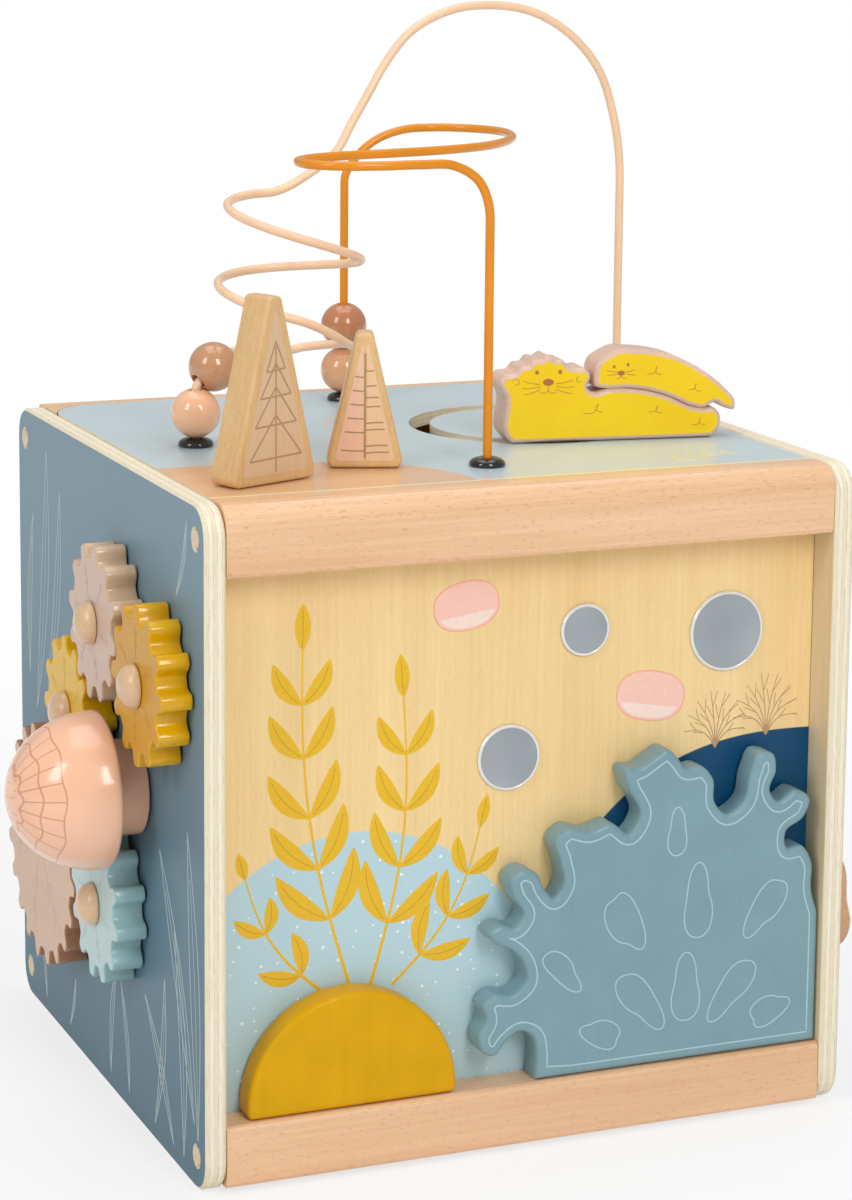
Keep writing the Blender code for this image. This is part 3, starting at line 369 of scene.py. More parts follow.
def inwardsOf(outline):
    # Which way each point of an outline goes to keep the same distance from both its sides
    sides = np.roll(outline, -1, 0) - outline
    area = np.sum(outline[:, 0] * np.roll(outline[:, 1], -1) - np.roll(outline[:, 0], -1) * outline[:, 1])
    normals = np.stack([-sides[:, 1], sides[:, 0]], -1) * np.sign(area)
    normals /= np.linalg.norm(normals, axis=1)[:, None]
    both = normals + np.roll(normals, 1, 0)
    return both / np.maximum(np.sum(both * normals, axis=1), 0.7)[:, None]


def uncrossed(line):
    # Where a closed line crosses itself, the shorter loop is drawn together into the crossing
    step = np.roll(line, -1, 0) - line
    gap = line[None] - line[:, None]

    def turn(a, b):
        return a[..., 0] * b[..., 1] - a[..., 1] * b[..., 0]

    across = turn(step[:, None], step[None])
    level = np.abs(across) < 1e-16
    across = np.where(level, 1.0, across)
    mine, other = turn(gap, step[None]) / across, turn(gap, step[:, None]) / across
    hit = np.triu((mine > 0) & (mine < 1) & (other > 0) & (other < 1) & ~level, 2)
    hit[0, -1] = False
    made = line.copy()
    for first, last in zip(*np.nonzero(hit)):
        inside = np.arange(first + 1, last + 1)
        if len(inside) > len(line) / 2:
            inside = np.setdiff1d(np.arange(len(line)), inside)
        made[inside] = line[first] + mine[first, last] * step[first]
    return made


def unfolded(outline, far):
    # The outline moved in, without the loops this makes: points that came too near another side are spread
    # evenly between the good ones on both sides of them
    line = outline + far * inwardsOf(outline)
    if far <= 0:
        return line
    sides = np.roll(outline, -1, 0) - outline
    gap = line[:, None] - outline[None]
    share = np.clip(np.sum(gap * sides[None], -1) / np.maximum(np.sum(sides**2, -1), 1e-16), 0, 1)
    nearest = np.linalg.norm(gap - share[..., None] * sides[None], axis=-1).min(axis=1)
    good = np.flatnonzero(nearest > 0.985 * far)
    index = np.arange(len(line))
    line = np.stack([np.interp(index, good, line[good, k], period=len(line)) for k in (0, 1)], -1)
    return uncrossed(uncrossed(line))


def raised(flat, heights, face):
    # Flat points with their heights, on a face given as its origin and the directions of x, y and height
    local = np.concatenate([flat, np.broadcast_to(heights, (*flat.shape[:2], 1))], -1)
    return local @ np.array(face[1], float) + np.array(face[0], float)


def plateSheet(outline, depths, face):
    # An outline carried through (inset, depth) pairs: each point moves in along its normal and out in depth
    inset, depth = np.array(depths, float).T
    flat = np.array([unfolded(outline, far) for far in inset])
    return sheet(raised(flat, depth[:, None, None], face), loopAcross=True, capped=True)


def roundEdges(low, high, radius, steps=5):
    # (inset, depth) pairs of a plate with both its edges rounded, and a narrow flat inside each
    turn = np.radians(np.linspace(0, 90, steps + 1))
    back = np.stack([abs(radius) * (1 - np.sin(turn)), low + radius * (1 - np.cos(turn))], -1)
    front = np.stack([abs(radius) * (1 - np.cos(turn)), high - radius + radius * np.sin(turn)], -1)
    flat = abs(radius) + 0.0003
    return np.vstack([[(flat, low)], back, front, [(flat, high)]])


def tubeSheet(path, radius, sides=20):
    # A circle carried along a path, kept level against the direction that the path comes least near to
    run = unit(np.gradient(path, axis=0))
    choices = np.array([(math.cos(a) * math.cos(e), math.sin(a) * math.cos(e), math.sin(e))
                        for a in np.arange(0, 6.2, 0.35) for e in (0.3, 0.6, 0.9, 1.2)])
    level = choices[np.argmin(np.abs(run @ choices.T).max(axis=0))]
    across = unit(np.cross(run, level))
    circle = oval((radius, radius), sides)[None, :, :, None]
    ring = circle[:, :, 0] * across[:, None] + circle[:, :, 1] * np.cross(run, across)[:, None]
    return sheet(path[:, None] + ring, loopAcross=True, capped=True)


def strokeSheet(path, widths, face, proud=cube["printProud"], closed=False):
    # A low ridge of ink along a path on a face: five points across, as wide as told at each point
    run = unit(np.roll(path, -1, 0) - np.roll(path, 1, 0) if closed else np.gradient(path, axis=0))
    side = np.stack([-run[:, 1], run[:, 0]], -1)
    widths = np.broadcast_to(np.asarray(widths, float), len(path))
    across = np.array([-0.5, -0.42, 0.0, 0.42, 0.5])
    heights = np.array([-cube["printSunk"], 0.8 * proud, proud, 0.8 * proud, -cube["printSunk"]])
    flat = path[:, None] + across[None, :, None] * widths[:, None, None] * side[:, None]
    return sheet(raised(flat, heights[None, :, None], face), closed, True, not closed)


def leafPath(start, end, bow, steps=24):
    # A line from start to end that bows to one side as half a sine
    start, end = np.array(start, float), np.array(end, float)
    t = np.linspace(0, 1, steps + 1)[:, None]
    across = np.array([-(end - start)[1], (end - start)[0]])
    return start + (end - start) * t + across * bow * np.sin(math.pi * t)


def leafWidths(width, steps=24):
    # A leaf's width along it: nothing at both ends and full between, as a power of half a sine
    return np.maximum(width * np.sin(math.pi * np.linspace(0, 1, steps + 1)) ** 0.8, 0.00005)


# Faces to print on: the origin, and the directions of a drawing's x, y and height
onFront = ((1, 0, 0), (0, 0, 1), (0, -1, 0))
onLeft = ((0, 1, 0), (0, 0, 1), (-1, 0, 0))
frontFace = ((cube["middle"], cube["frontPanel"], 0), onFront)
leftFace = ((cube["middle"] - cube["half"], 0, 0), onLeft)
topFace = ((cube["middle"], 0, cube["top"]), ((1, 0, 0), (0, 1, 0), (0, 0, 1)))
flatInk = ((0, -cube["printSunk"]), (0, cube["printProud"]))
thinInk = ((0, -cube["printSunk"]), (0, 0.00005))
spins = {joint["name"]: joint["pos_m"] for joint in frame["joints"] if "pos_m" in joint}

# Carcass: rails, dowels, side panels and the hidden boards
carcass = {
    "beechLight": (0.955, 0.792, 0.628), "beechDark": (0.880, 0.680, 0.508),
    # The side panels' paint at the top, and a darker one at the bottom that is painted shade
    "paintTop": (0.475, 0.585, 0.645), "paintLow": (0.310, 0.450, 0.520),
    "outerPaint": 0.14990, "innerFace": 0.1407, "panelThick": 0.0095,
}


def sidePanelFinish():
    # Paint on the outer face with painted shade towards the bottom, bare wood on the inner one, and the
    # plywood's layers all round between them
    made = Finish("sidePanelPly", 0.42, coat=0.0, coatRoughness=0.2, specular=0.22)
    x, _, z = made.parts(made.place)
    deep = abs(x - cube["middle"])
    across = made.remap(deep, cube["half"] - carcass["panelThick"], cube["half"])
    edge = plyEdge(made, across, made.mapped(made.place, (3000, 160, 160)))
    # Painted shade: the paint gets darker towards the bottom, by height with a slow noise on it
    shadeHeight = z + made.noise(made.place, 30, 3) * 0.05
    paint = made.mix(made.remap(shadeHeight, 0.02, 0.29), carcass["paintLow"], carcass["paintTop"])
    bare, height = grained(made, (0.93, 0.86, 0.72), (0.86, 0.77, 0.61), "z", 0.15)
    inside = made.under(deep, carcass["innerFace"], 0.0001)
    painted = made.over(deep, carcass["outerPaint"], 0.00004)
    made.colour(made.mix(painted, made.mix(inside, edge, bare), paint))
    made.rough(made.remap(painted, 0.0, 1.0, 0.55, 0.42))
    made.bump(made.noise(made.place, 600) + height * 0.2, 0.00003, 0.4)
    return made.material


def nutFinish():
    made = Finish("zincNut", 0.35, metallic=1.0)
    worn = made.noise(made.place, 900, 3)
    made.colour(made.mix(worn, (0.66, 0.66, 0.67), (0.54, 0.54, 0.55)))
    made.rough(made.remap(worn, 0.2, 0.8, 0.25, 0.45))
    return made.material


railBeech = woodFinish("railBeech", carcass["beechLight"], carcass["beechDark"], "x", 0.42, roughness=0.42,
                       coat=0.32, coatRoughness=0.2, pores=0.00007)
axleTones = ((0.90, 0.77, 0.62), (0.80, 0.64, 0.48))
dress(sidePanelFinish(), "side_panel_left", "side_panel_right")
dress(railBeech, *[f"rail_{level}_{side}" for level in ("top", "bottom") for side in ("front", "back")])
dress(woodFinish("dowelWood", (0.93, 0.86, 0.74), (0.82, 0.72, 0.58), "x", 0.8),
      *[f"dowel_{side}_{k}" for side in ("left", "right") for k in (1, 2, 3, 4)])
dress(woodFinish("innerPly", (0.93, 0.86, 0.72), (0.84, 0.74, 0.58), "y", 0.2, coat=0.0),
      "disc_hub", "under_board")
dress(woodFinish("axleWood", *axleTones, "x", 0.6), "gear_large_axle", "dome_axle")
dress(woodFinish("pinWood", *axleTones, "z", 0.6), "tree_big_peg", "tree_small_peg", "slider_peg")
dress(paintFinish("backPaint", (0.49, 0.59, 0.64), 0.25, roughness=0.35), "back_panel")
dress(woodFinish("reliefWood", (0.90, 0.72, 0.54), (0.80, 0.60, 0.43), "z", 0.6), "side_relief")
dress(nutFinish(), "nut_orange_front", "nut_orange_back", "nut_peach_left", "nut_peach_right")

# The back rail's upper corner, less rounded than the front one's: a strip over its rounding
crest = {"out": 0.140, "in": 0.1302, "round": 0.0025, "over": 0.010, "under": 0.0001, "end": 0.0004}
outer = arc((crest["out"] - crest["round"], cube["top"] - crest["round"]), crest["round"], 0, 90, 6)
middle = (crest["out"] - crest["over"], cube["top"] - crest["over"])
inner = arc(middle, crest["over"] - crest["under"], 90, 0, 10)
section = np.vstack([outer, [(crest["in"], cube["top"])], inner])
low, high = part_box("rail_top_back")
ends = (low.x + crest["end"], high.x - crest["end"])
strip = [np.column_stack([np.full(len(section), x), section]) for x in ends]
addPiece("rail_back_crest", [sheet(strip, loopAcross=True, capped=True)], railBeech, slot="beech")
print("carcass dressed")

# Front panel: bare pale wood with a pale mound at the left and a dark one at the right
frontPrint = {
    "woodLight": (0.975, 0.865, 0.640), "woodDark": (0.925, 0.790, 0.545), "soft": 0.004,
    "paleColour": (0.725, 0.840, 0.872), "darkColour": (0.000, 0.280, 0.435),
    "pale": {"centre": (-0.078, 0.028), "reach": (0.098, 0.118), "power": 2.0},
    "dark": {"centre": (0.128, 0.040), "reach": (0.1233, 0.132), "power": 2.3},
    "dot": (0.93, 0.96, 0.96), "dotSize": 0.085, "dotScale": 110,
}


def frontFinish():
    made = Finish("frontPrint", 0.42, specular=0.3)
    x, _, z = made.parts(made.mapped(made.place, shift=(-cube["middle"], 0, 0)))
    wood, height = grained(made, frontPrint["woodLight"], frontPrint["woodDark"], "z", 0.12)
    pale, dark = (made.inside(x, z, frontPrint[mound], frontPrint["soft"]) for mound in ("pale", "dark"))
    far, own = made.spots(x, z, frontPrint["dotScale"])
    size = made.remap(own, 0.0, 1.0, 0.3 * frontPrint["dotSize"], frontPrint["dotSize"])
    blue = made.mix(made.math("LESS_THAN", far, size), frontPrint["paleColour"], frontPrint["dot"])
    made.colour(made.mix(dark, made.mix(pale, wood, blue), frontPrint["darkColour"]))
    made.bump(height, 0.00005, 0.3)
    return made.material


dress(frontFinish(), "front_panel")

# Sprigs: foot and tip of each stem in mm, how far it bows, and its leaves' length, width and number of pairs
sprigs = (
    {"foot": (-79, 77), "tip": (-101, 233), "bow": 0.05, "leaf": 0.036, "wide": 0.0105, "pairs": 6},
    {"foot": (-70, 77.5), "tip": (-56, 208), "bow": -0.06, "leaf": 0.034, "wide": 0.01, "pairs": 5},
    {"foot": (-60, 76.5), "tip": (-19, 145), "bow": -0.1, "leaf": 0.027, "wide": 0.0085, "pairs": 4},
    {"foot": (-90, 76), "tip": (-127, 133), "bow": 0.1, "leaf": 0.022, "wide": 0.008, "pairs": 3},
)
sprigLines = {
    "stem": (0.0016, 0.0007), "vein": 0.00030, "leafProud": 0.00010, "veinProud": 0.00014, "lean": 34,
    "firstLeaf": 0.22, "lastLeaf": 0.97,
}


def sprigSheets(one):
    # A thin stem, and leaves in pairs that shorten towards its tip, each with a vein down its middle
    stem = leafPath(mm(*one["foot"]), mm(*one["tip"]), one["bow"], 48)
    shapes = [strokeSheet(stem, np.linspace(*sprigLines["stem"], len(stem)), frontFace)]
    veins = []
    heading = np.gradient(stem, axis=0)
    rows = np.linspace(sprigLines["firstLeaf"], sprigLines["lastLeaf"], one["pairs"])
    for k, share in enumerate(rows):
        at = int(share * (len(stem) - 1))
        for side in (1, -1) if k < len(rows) - 1 else (0,):
            lean = math.atan2(heading[at][1], heading[at][0]) + side * math.radians(sprigLines["lean"])
            line = leafPath(stem[at], stem[at] + ray(lean, one["leaf"] * (1.0 - 0.45 * share)), 0.10 * side)
            widths = leafWidths(one["wide"] * (1.0 - 0.3 * share))
            shapes.append(strokeSheet(line, widths, frontFace, sprigLines["leafProud"]))
            veins.append(strokeSheet(line[2:-3], sprigLines["vein"], frontFace, sprigLines["veinProud"]))
    return shapes, veins


leaves, veins = (sum(group, []) for group in zip(*(sprigSheets(one) for one in sprigs)))
addPiece("front_leaves", leaves, inkFinish("mustardInk", (0.905, 0.720, 0.085)), slot="front_print")
addPiece("front_leaf_veins", veins, inkFinish("veinInk", (0.700, 0.520, 0.130)), slot="front_print")

# Two soft rounded shapes with a paler foot, each with its middle and its half width and height
pebbles = (
    {"middle": (-0.0270, 0.2400), "reach": (0.0150, 0.0105), "turn": 8},
    {"middle": (0.0610, 0.1930), "reach": (0.0165, 0.0110), "turn": -10},
)


def pebbleLine(one, scale=1.0, low=-180, high=180, steps=64):
    # A squared ellipse: cosine and sine raised to a power below one
    angles = np.radians(np.linspace(low, high, steps, endpoint=(high - low) < 360))
    circle = np.stack([np.cos(angles), np.sin(angles)], -1)
    flat = scale * np.array(one["reach"]) * np.sign(circle) * np.abs(circle) ** 0.85
    return np.array(one["middle"]) + turnedBy(flat, math.radians(one["turn"]))


footInk = ((0, 0), (0, 0.00012))
for name, ink, colour, drawn in (
    ("front_pebbles", "pinkInk", (0.970, 0.775, 0.715),
     [plateSheet(pebbleLine(one), flatInk, frontFace) for one in pebbles]),
    ("front_pebble_feet", "palePinkInk", (0.965, 0.865, 0.815),
     [plateSheet(pebbleLine(one, 0.90, 200, 340, 40), footInk, frontFace) for one in pebbles]),
    ("front_pebble_rims", "rimInk", (0.950, 0.665, 0.560),
     [strokeSheet(pebbleLine(one), 0.0006, frontFace, 0.00013, closed=True) for one in pebbles]),
):
    addPiece(name, drawn, inkFinish(ink, colour), slot="front_print")

# Fine grass at the right, over the dark mound: two tufts of blades that fan out, each with its foot and size,
# the blades' leans in degrees and lengths in mm, and where along a blade its twigs fork off, at which angle
grass = {
    "tufts": ((0.1185, 0.1700, 0.95), (0.0932, 0.1665, 0.88)),
    "blades": ((26, 19), (45, 23), (62, 26), (79, 29), (96, 30), (113, 27), (131, 24), (151, 20)),
    "twigs": ((0.5, 24), (0.72, -24)), "twigLong": 0.28, "bladeWide": (0.0006, 0.00035), "twigWide": 0.0004,
}
strokes = []
for x, z, size in grass["tufts"]:
    for lean, long in grass["blades"]:
        foot, long = np.array((x, z)), size * long / 1000
        line = leafPath(foot, foot + ray(math.radians(lean), long), (90 - lean) / 300)
        strokes.append(strokeSheet(line, np.linspace(*grass["bladeWide"], 25), frontFace))
        for share, out in grass["twigs"]:
            fork = line[int(24 * share)]
            tip = fork + ray(math.radians(lean + out), grass["twigLong"] * long)
            strokes.append(strokeSheet(leafPath(fork, tip, 0.0, 6), grass["twigWide"], frontFace))
addPiece("front_grass", strokes, inkFinish("twigInk", (0.730, 0.580, 0.420)), slot="front_print")
print("front panel printed")

# Mirrors: a silvered disc with a low bevel round its face, and a pale edge whose near white over the bevel is a
# painted highlight
mirror = {"bevel": 0.0012, "thick": 0.0012, "rim": 0.0004, "shoulder": 0.0006, "sunk": 0.0002}


def mirrorFinish():
    made = Finish("silveredMirror", 0.06, metallic=1.0)
    # Painted reflection: the silver goes lighter and darker in slow clouds, for the light and dark that the
    # mirror reflects
    made.colour(made.clouded(made.noise(made.place, 28, 1), (0.665, 0.690, 0.705), (0.590, 0.615, 0.635)))
    made.bump(made.noise(made.place, 35, 1), 0.0004, 0.15)
    return made.material


def mirrorHighlightEdgeFinish():
    # Painted highlight: the bevel and edge are a glossy near white all round, for the light that lies on the
    # bevel
    made = Finish("mirrorEdge", 0.18, coat=0.6, coatRoughness=0.05)
    made.colour(made.mix(made.noise(made.place, 300), (0.93, 0.93, 0.92), (0.86, 0.87, 0.87)))
    return made.material


silver, silverHighlightEdge = mirrorFinish(), mirrorHighlightEdgeFinish()
for node in ("mirror_small", "mirror_medium", "mirror_large"):
    low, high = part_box(node)
    middle = ((low.x + high.x) / 2, high.y, (low.z + high.z) / 2)
    radius, thick, flat = (high.x - low.x) / 2, mirror["thick"], (high.x - low.x) / 2 - mirror["bevel"]
    level = thick - mirror["sunk"]
    face = [(0, level), (flat, level), (flat - mirror["sunk"], thick / 2), (0, thick / 2)]
    ring = [(flat, 0), (radius, 0), (radius, thick - mirror["shoulder"]),
            (radius - mirror["rim"], thick - 0.0001), (flat + 0.0003, thick), (flat, level)]
    rim = turnedSheet(ring, middle, (0, -1, 0), 96, looped=True)
    addPiece(f"{node}_rim", [rim], silverHighlightEdge, slot="mirror")
    disc = turnedSheet(face, middle, (0, -1, 0), 96)
    addPiece(f"{node}_face", [disc], silver, slot="mirror", standsFor=(node,))
print("mirrors set")

# Half disc and coral on the bottom rail: sawn from thick board, rounded over and painted all round
reliefs = {"depth": 0.0142, "back": -0.1233, "foot": 0.0298, "round": 0.0024}
reliefBack = ((0, reliefs["back"], reliefs["foot"]), onFront)
reliefFace = ((0, reliefs["back"] - reliefs["depth"], reliefs["foot"]), onFront)
reliefDepths = roundEdges(0, reliefs["depth"], reliefs["round"])
halfDisc = {"radius": 0.0473, "rise": 0.0033, "corner": 0.0024, "cornerRound": 0.002}
low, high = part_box("half_disc")
halfMiddle, halfReach = (low.x + high.x) / 2, (high.x - low.x) / 2
lift = math.degrees(math.asin(halfDisc["rise"] / halfDisc["radius"]))
bow = arc((halfMiddle, halfDisc["rise"]), halfReach, 4 - lift, 176 + lift, 72)
inFromEnd, small = halfReach - halfDisc["corner"], halfDisc["cornerRound"]
footCorner = arc((halfMiddle + inFromEnd, small), small, -80, -10, 4)
otherCorner = arc((halfMiddle - inFromEnd, small), small, 190, 260, 4)
halfLine = np.vstack([bow, otherCorner, footCorner])
mustardPaint = paintFinish("mustardPaint", (0.880, 0.665, 0.000), 0.15, coat=0.03, specular=0.15)
addPiece("half_disc_painted", [plateSheet(halfLine, reliefDepths, reliefBack)], mustardPaint, slot="mustard",
         standsFor=("half_disc",))

# The coral's outline in mm, from the left of its stem round to the right
coral = {
    "right": 139.9,
    "line": (
        (2.5, 12), (0.5, 20), (-5.5, 22.8), (-12, 19), (-17, 13.3), (-23, 15.5), (-25, 22.5), (-21.5, 30),
        (-22.8, 36.2), (-18.5, 40.7), (-9, 40.3), (-3, 45), (-4, 53), (-10, 60), (-18, 64.2), (-20.7, 69),
        (-15.5, 71.7), (-8, 70.3), (-4.5, 74.5), (-9.5, 84), (-10.7, 92), (-5, 95.5), (1.5, 93),
        (5.5, 85.5), (10, 81.2), (14, 86), (12.5, 97), (10.2, 106.5), (15.5, 111.3), (26.5, 109.3),
        (36.5, 111.8), (45.5, 106.2), (50.3, 113), (44, 128), (43, 135), (49.5, 135.3), (57, 139.5),
        (63, 142.2), (68.5, 137.5), (72.5, 132.7), (80.5, 132.7), (86, 126.5), (87, 116), (93, 110),
        (101, 114.5), (104.3, 127.5), (109, 136.2), (115.5, 135), (117.2, 128), (114.3, 118.5),
        (118, 113.3), (127, 117.5), (134.5, 113), (131.5, 104.5), (122.8, 98.5), (123.5, 91.5),
        (131, 91.5), (136.2, 84), (136.6, 71),
    ),
}
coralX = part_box("coral")[1].x - coral["right"] / 1000
coralPoints = mm((2.0, 0), *coral["line"], (coral["right"], 60), (coral["right"], 0)) + (coralX, 0)
coralLine = closedCurve(coralPoints, 8, (0, len(coralPoints) - 2, len(coralPoints) - 1))
addPiece("coral_painted", [plateSheet(coralLine, reliefDepths, reliefBack)],
         paintFinish("coralPaint", (0.500, 0.640, 0.680), 0.12), slot="coral_blue", standsFor=("coral",))

# Pale lines on the coral: one further in that follows its edge, and long wobbly rings that fan out from its
# foot, each with its angle, and in mm its distance from there and its half length and half width
coralLines = {
    "inset": 0.0046, "wide": 0.00075, "ringWide": 0.00065, "foot": (74, -4),
    "rings": (
        (153, 46, 10.8, 5.4), (123, 41, 15, 7.2), (90, 36, 13.5, 7.6), (56, 41, 14.5, 7),
        (27, 47, 11, 5.6), (139, 80, 11.5, 5.2), (113, 77, 15.5, 7), (86, 75, 15, 7.4),
        (61, 80, 14.5, 6.6), (93, 108, 9.5, 5),
    ),
}
inner = unfolded(coralLine, coralLines["inset"])
inner = inner[np.linalg.norm(inner - np.roll(inner, 1, 0), axis=1) > 0.00015]
strokes = [strokeSheet(inner, coralLines["wide"], reliefFace, closed=True)]
around = np.arange(60) * 2 * math.pi / 60
for angle, far, long, wide in coralLines["rings"]:
    angle = math.radians(angle)
    middle = mm(*coralLines["foot"]) + ray(angle, far / 1000) + (coralX, 0)
    wobble = 1 + 0.16 * np.sin(2 * around + 9 * angle) + 0.12 * np.sin(3 * around + 5 * angle)
    ring = middle + turnedBy(wobble[:, None] * oval(mm(long, wide), 60), angle)
    strokes.append(strokeSheet(ring, coralLines["ringWide"], reliefFace, closed=True))
addPiece("coral_lines", strokes, inkFinish("paleBlueInk", (0.650, 0.780, 0.820)), slot="coral_blue")
print("reliefs made")

# Gears: a wave of rounded teeth about each joint's place. Each has its teeth, a tooth's angle, the share of
# its face's colour that its lines have, and the colours of its face and side
gearCut = {
    "module": 0.0054, "over": 0.0026, "under": 0.0040, "square": 2.2, "narrow": 0.10, "perTooth": 28,
    "thick": 0.014, "round": 0.0009, "bore": 0.0043,
}
gearLines = {
    "spokes": 6, "end": 0.002, "startSmall": 0.0115, "startLarge": 0.006, "wide": 0.0004,
    "twigs": (4, 8), "twigLean": 38, "twigLong": 0.22, "twigWide": 0.0003,
}
gears = (
    {"name": "gear_top", "slot": "taupe", "teeth": 12, "tooth": 8, "lines": 0.86,
     "face": (0.860, 0.745, 0.665), "side": (0.880, 0.745, 0.615)},
    {"name": "gear_front", "slot": "mustard", "teeth": 12, "tooth": 210.2, "lines": 0.88,
     "face": (0.860, 0.615, 0.000), "side": (0.900, 0.680, 0.000)},
    {"name": "gear_back", "slot": "yellow", "teeth": 12, "tooth": 86.6, "lines": 0.88,
     "face": (0.940, 0.750, 0.190), "side": (0.940, 0.740, 0.030)},
    {"name": "gear_large", "slot": "beige", "teeth": 20, "tooth": 42.96, "lines": 0.90,
     "face": (0.885, 0.740, 0.625), "side": (0.720, 0.515, 0.380)},
    {"name": "gear_lower", "slot": "light_blue", "teeth": 12, "tooth": 7.6667, "lines": 0.88,
     "face": (0.763, 0.862, 0.860), "side": (0.660, 0.805, 0.815)},
)


def gearSheet(gear, centre, bored):
    # Radius over angle and profile: rings from the bore out over one face, round the teeth and back in
    count = gear["teeth"] * gearCut["perTooth"]
    angles = np.arange(count) * 2 * math.pi / count
    square, narrow = gearCut["square"], gearCut["narrow"]
    low, high = math.tanh(square * (1 + narrow)), math.tanh(square * (1 - narrow))
    wave = (np.tanh(square * (np.cos(gear["teeth"] * angles) - narrow)) + low) / (low + high)
    root = gearCut["module"] * gear["teeth"] / 2 - gearCut["under"]
    edge = root + (gearCut["over"] + gearCut["under"]) * wave
    turned = angles + math.radians(gear["tooth"])
    circle = np.stack([np.cos(turned), np.sin(turned)], -1)
    outline = edge[:, None] * circle
    half = gearCut["thick"] / 2
    inset, depth = roundEdges(centre[0] + half, centre[0] - half, -gearCut["round"], 4).T
    flat = outline[None] + inset[:, None, None] * inwardsOf(outline)[None]
    hole = (gearCut["bore"] if bored else 0.0) * circle[None]
    flat = np.concatenate([hole, flat, hole]) + np.array(centre[1:])
    depth = np.concatenate([depth[:1], depth, depth[-1:]])[:, None, None]
    return sheet(np.concatenate([np.broadcast_to(depth, (*flat.shape[:2], 1)), flat], -1), bored, True)


def gearFinish(gear):
    # Matt print on the face over the wood's grain, and a glossier coat or bare wood on the teeth
    made = Finish(f"{gear['name']}Finish", 0.4, coat=0.15, coatRoughness=0.1, specular=0.4)
    face = made.over(abs(made.parts(made.normal)[0]), 0.93, 0.03)
    printed, height = grained(made, gear["face"], scaled(gear["face"], 0.955), "y", 0.18)
    side = grained(made, gear["side"], scaled(gear["side"], 0.93), "y", 0.15)[0]
    made.colour(made.mix(face, side, printed))
    made.rough(made.remap(face, 0.0, 1.0, 0.17, 0.44))
    made.bump(height, 0.00004, 0.3)
    return made.material


for gear in gears:
    centre, small = spins[f"{gear['name']}_spin"], gear["teeth"] == 12
    addPiece(f"{gear['name']}_cut", [gearSheet(gear, centre, small)], gearFinish(gear), body=gear["name"],
             slot=gear["slot"], standsFor=(gear["name"],))
    face = ((centre[0] - gearCut["thick"] / 2, centre[1], centre[2]), onLeft)
    reach = gearCut["module"] * gear["teeth"] / 2 - gearCut["under"] - gearLines["end"]
    inner = gearLines["startSmall"] if small else gearLines["startLarge"]
    strokes = []
    for k in range(gearLines["spokes"]):
        angle = math.radians(360 / gearLines["spokes"] * k + gear["tooth"])
        spoke = leafPath(ray(angle, inner), ray(angle, reach), 0.06, 12)
        strokes.append(strokeSheet(spoke, gearLines["wide"], face))
        for share in gearLines["twigs"]:
            for side in (-1, 1):
                lean = angle + side * math.radians(gearLines["twigLean"])
                end = spoke[share] + ray(lean, gearLines["twigLong"] * (reach - inner))
                twig = leafPath(spoke[share], end, 0.1 * side, 6)
                strokes.append(strokeSheet(twig, gearLines["twigWide"], face))
    ink = inkFinish(f"{gear['name']}Ink", scaled(gear["face"], gear["lines"]))
    addPiece(f"{gear['name']}_lines", strokes, ink, body=gear["name"])

# Gear pegs: turned heads like half an egg, on the pins in the panel
peg = {"radius": 0.0096, "height": 0.0075, "edge": 0.0003, "pin": 0.004}
pegWood = woodFinish("pegWood", (0.905, 0.775, 0.620), (0.845, 0.700, 0.540), "x", 0.15, roughness=0.28,
                     coat=0.5)
around = np.radians(np.linspace(90, 0, 17))
rise = peg["edge"] + (peg["height"] - peg["edge"]) * np.sin(around)
crown = np.stack([peg["radius"] * np.cos(around), rise], -1)
lip = arc((peg["radius"] - peg["edge"], peg["edge"]), peg["edge"], 0, -90, 4)
for name in ("gear_top", "gear_front", "gear_back", "gear_lower"):
    low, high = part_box(f"{name}_peg")
    base = (low.x + peg["height"], (low.y + high.y) / 2, (low.z + high.z) / 2)
    pinEnd = base[0] - high.x
    profile = np.vstack([crown, lip, [(peg["pin"], 0), (peg["pin"], pinEnd), (0, pinEnd)]])
    addPiece(f"{name}_peg_turned", [turnedSheet(profile, base, (-1, 0, 0), 48)], pegWood, slot="beech",
             standsFor=(f"{name}_peg",))
print("gears cut")

# Knob: a turned cap with a wide neck, painted glossy, with rings and meridians on its crown
knob = {
    "radius": 0.0346, "height": 0.040, "rim": 0.0185, "rimRound": 0.0022, "neck": 0.021, "neckFlare": 0.0015,
    "standoff": 0.0008, "bore": 0.0063, "boreDepth": 0.030, "meridians": 22, "rings": (0.0405, 0.0490),
    "cap": 0.0555, "lineWide": 0.00030, "meridianWide": 0.00028, "soft": 0.00008, "footRound": 0.001,
    "waves": 9.0, "waveHigh": 0.0006, "dotScale": 230, "dotSize": 0.14,
}
knobPlace = spins["knob_spin"]


def knobSheet():
    around = np.radians(np.linspace(90, 0, 41))
    crown = np.stack([knob["radius"] * np.cos(around), knob["rim"] + knob["height"] * np.sin(around)], -1)
    lip = arc((knob["radius"] - knob["rimRound"], knob["rim"]), knob["rimRound"], 0, -90, 6)
    under = knob["rim"] - knob["rimRound"]
    flare = arc((knob["neck"] + knob["neckFlare"], under - knob["neckFlare"]), knob["neckFlare"], 90, 180, 6)
    small = knob["footRound"]
    foot = arc((knob["neck"] - small, knob["standoff"] + small), small, 0, -90, 3)
    bore = [(knob["bore"], knob["standoff"]), (knob["bore"], knob["boreDepth"]), (0, knob["boreDepth"])]
    return turnedSheet(np.vstack([crown, lip, flare, foot, bore]), knobPlace, (-1, 0, 0), 128)


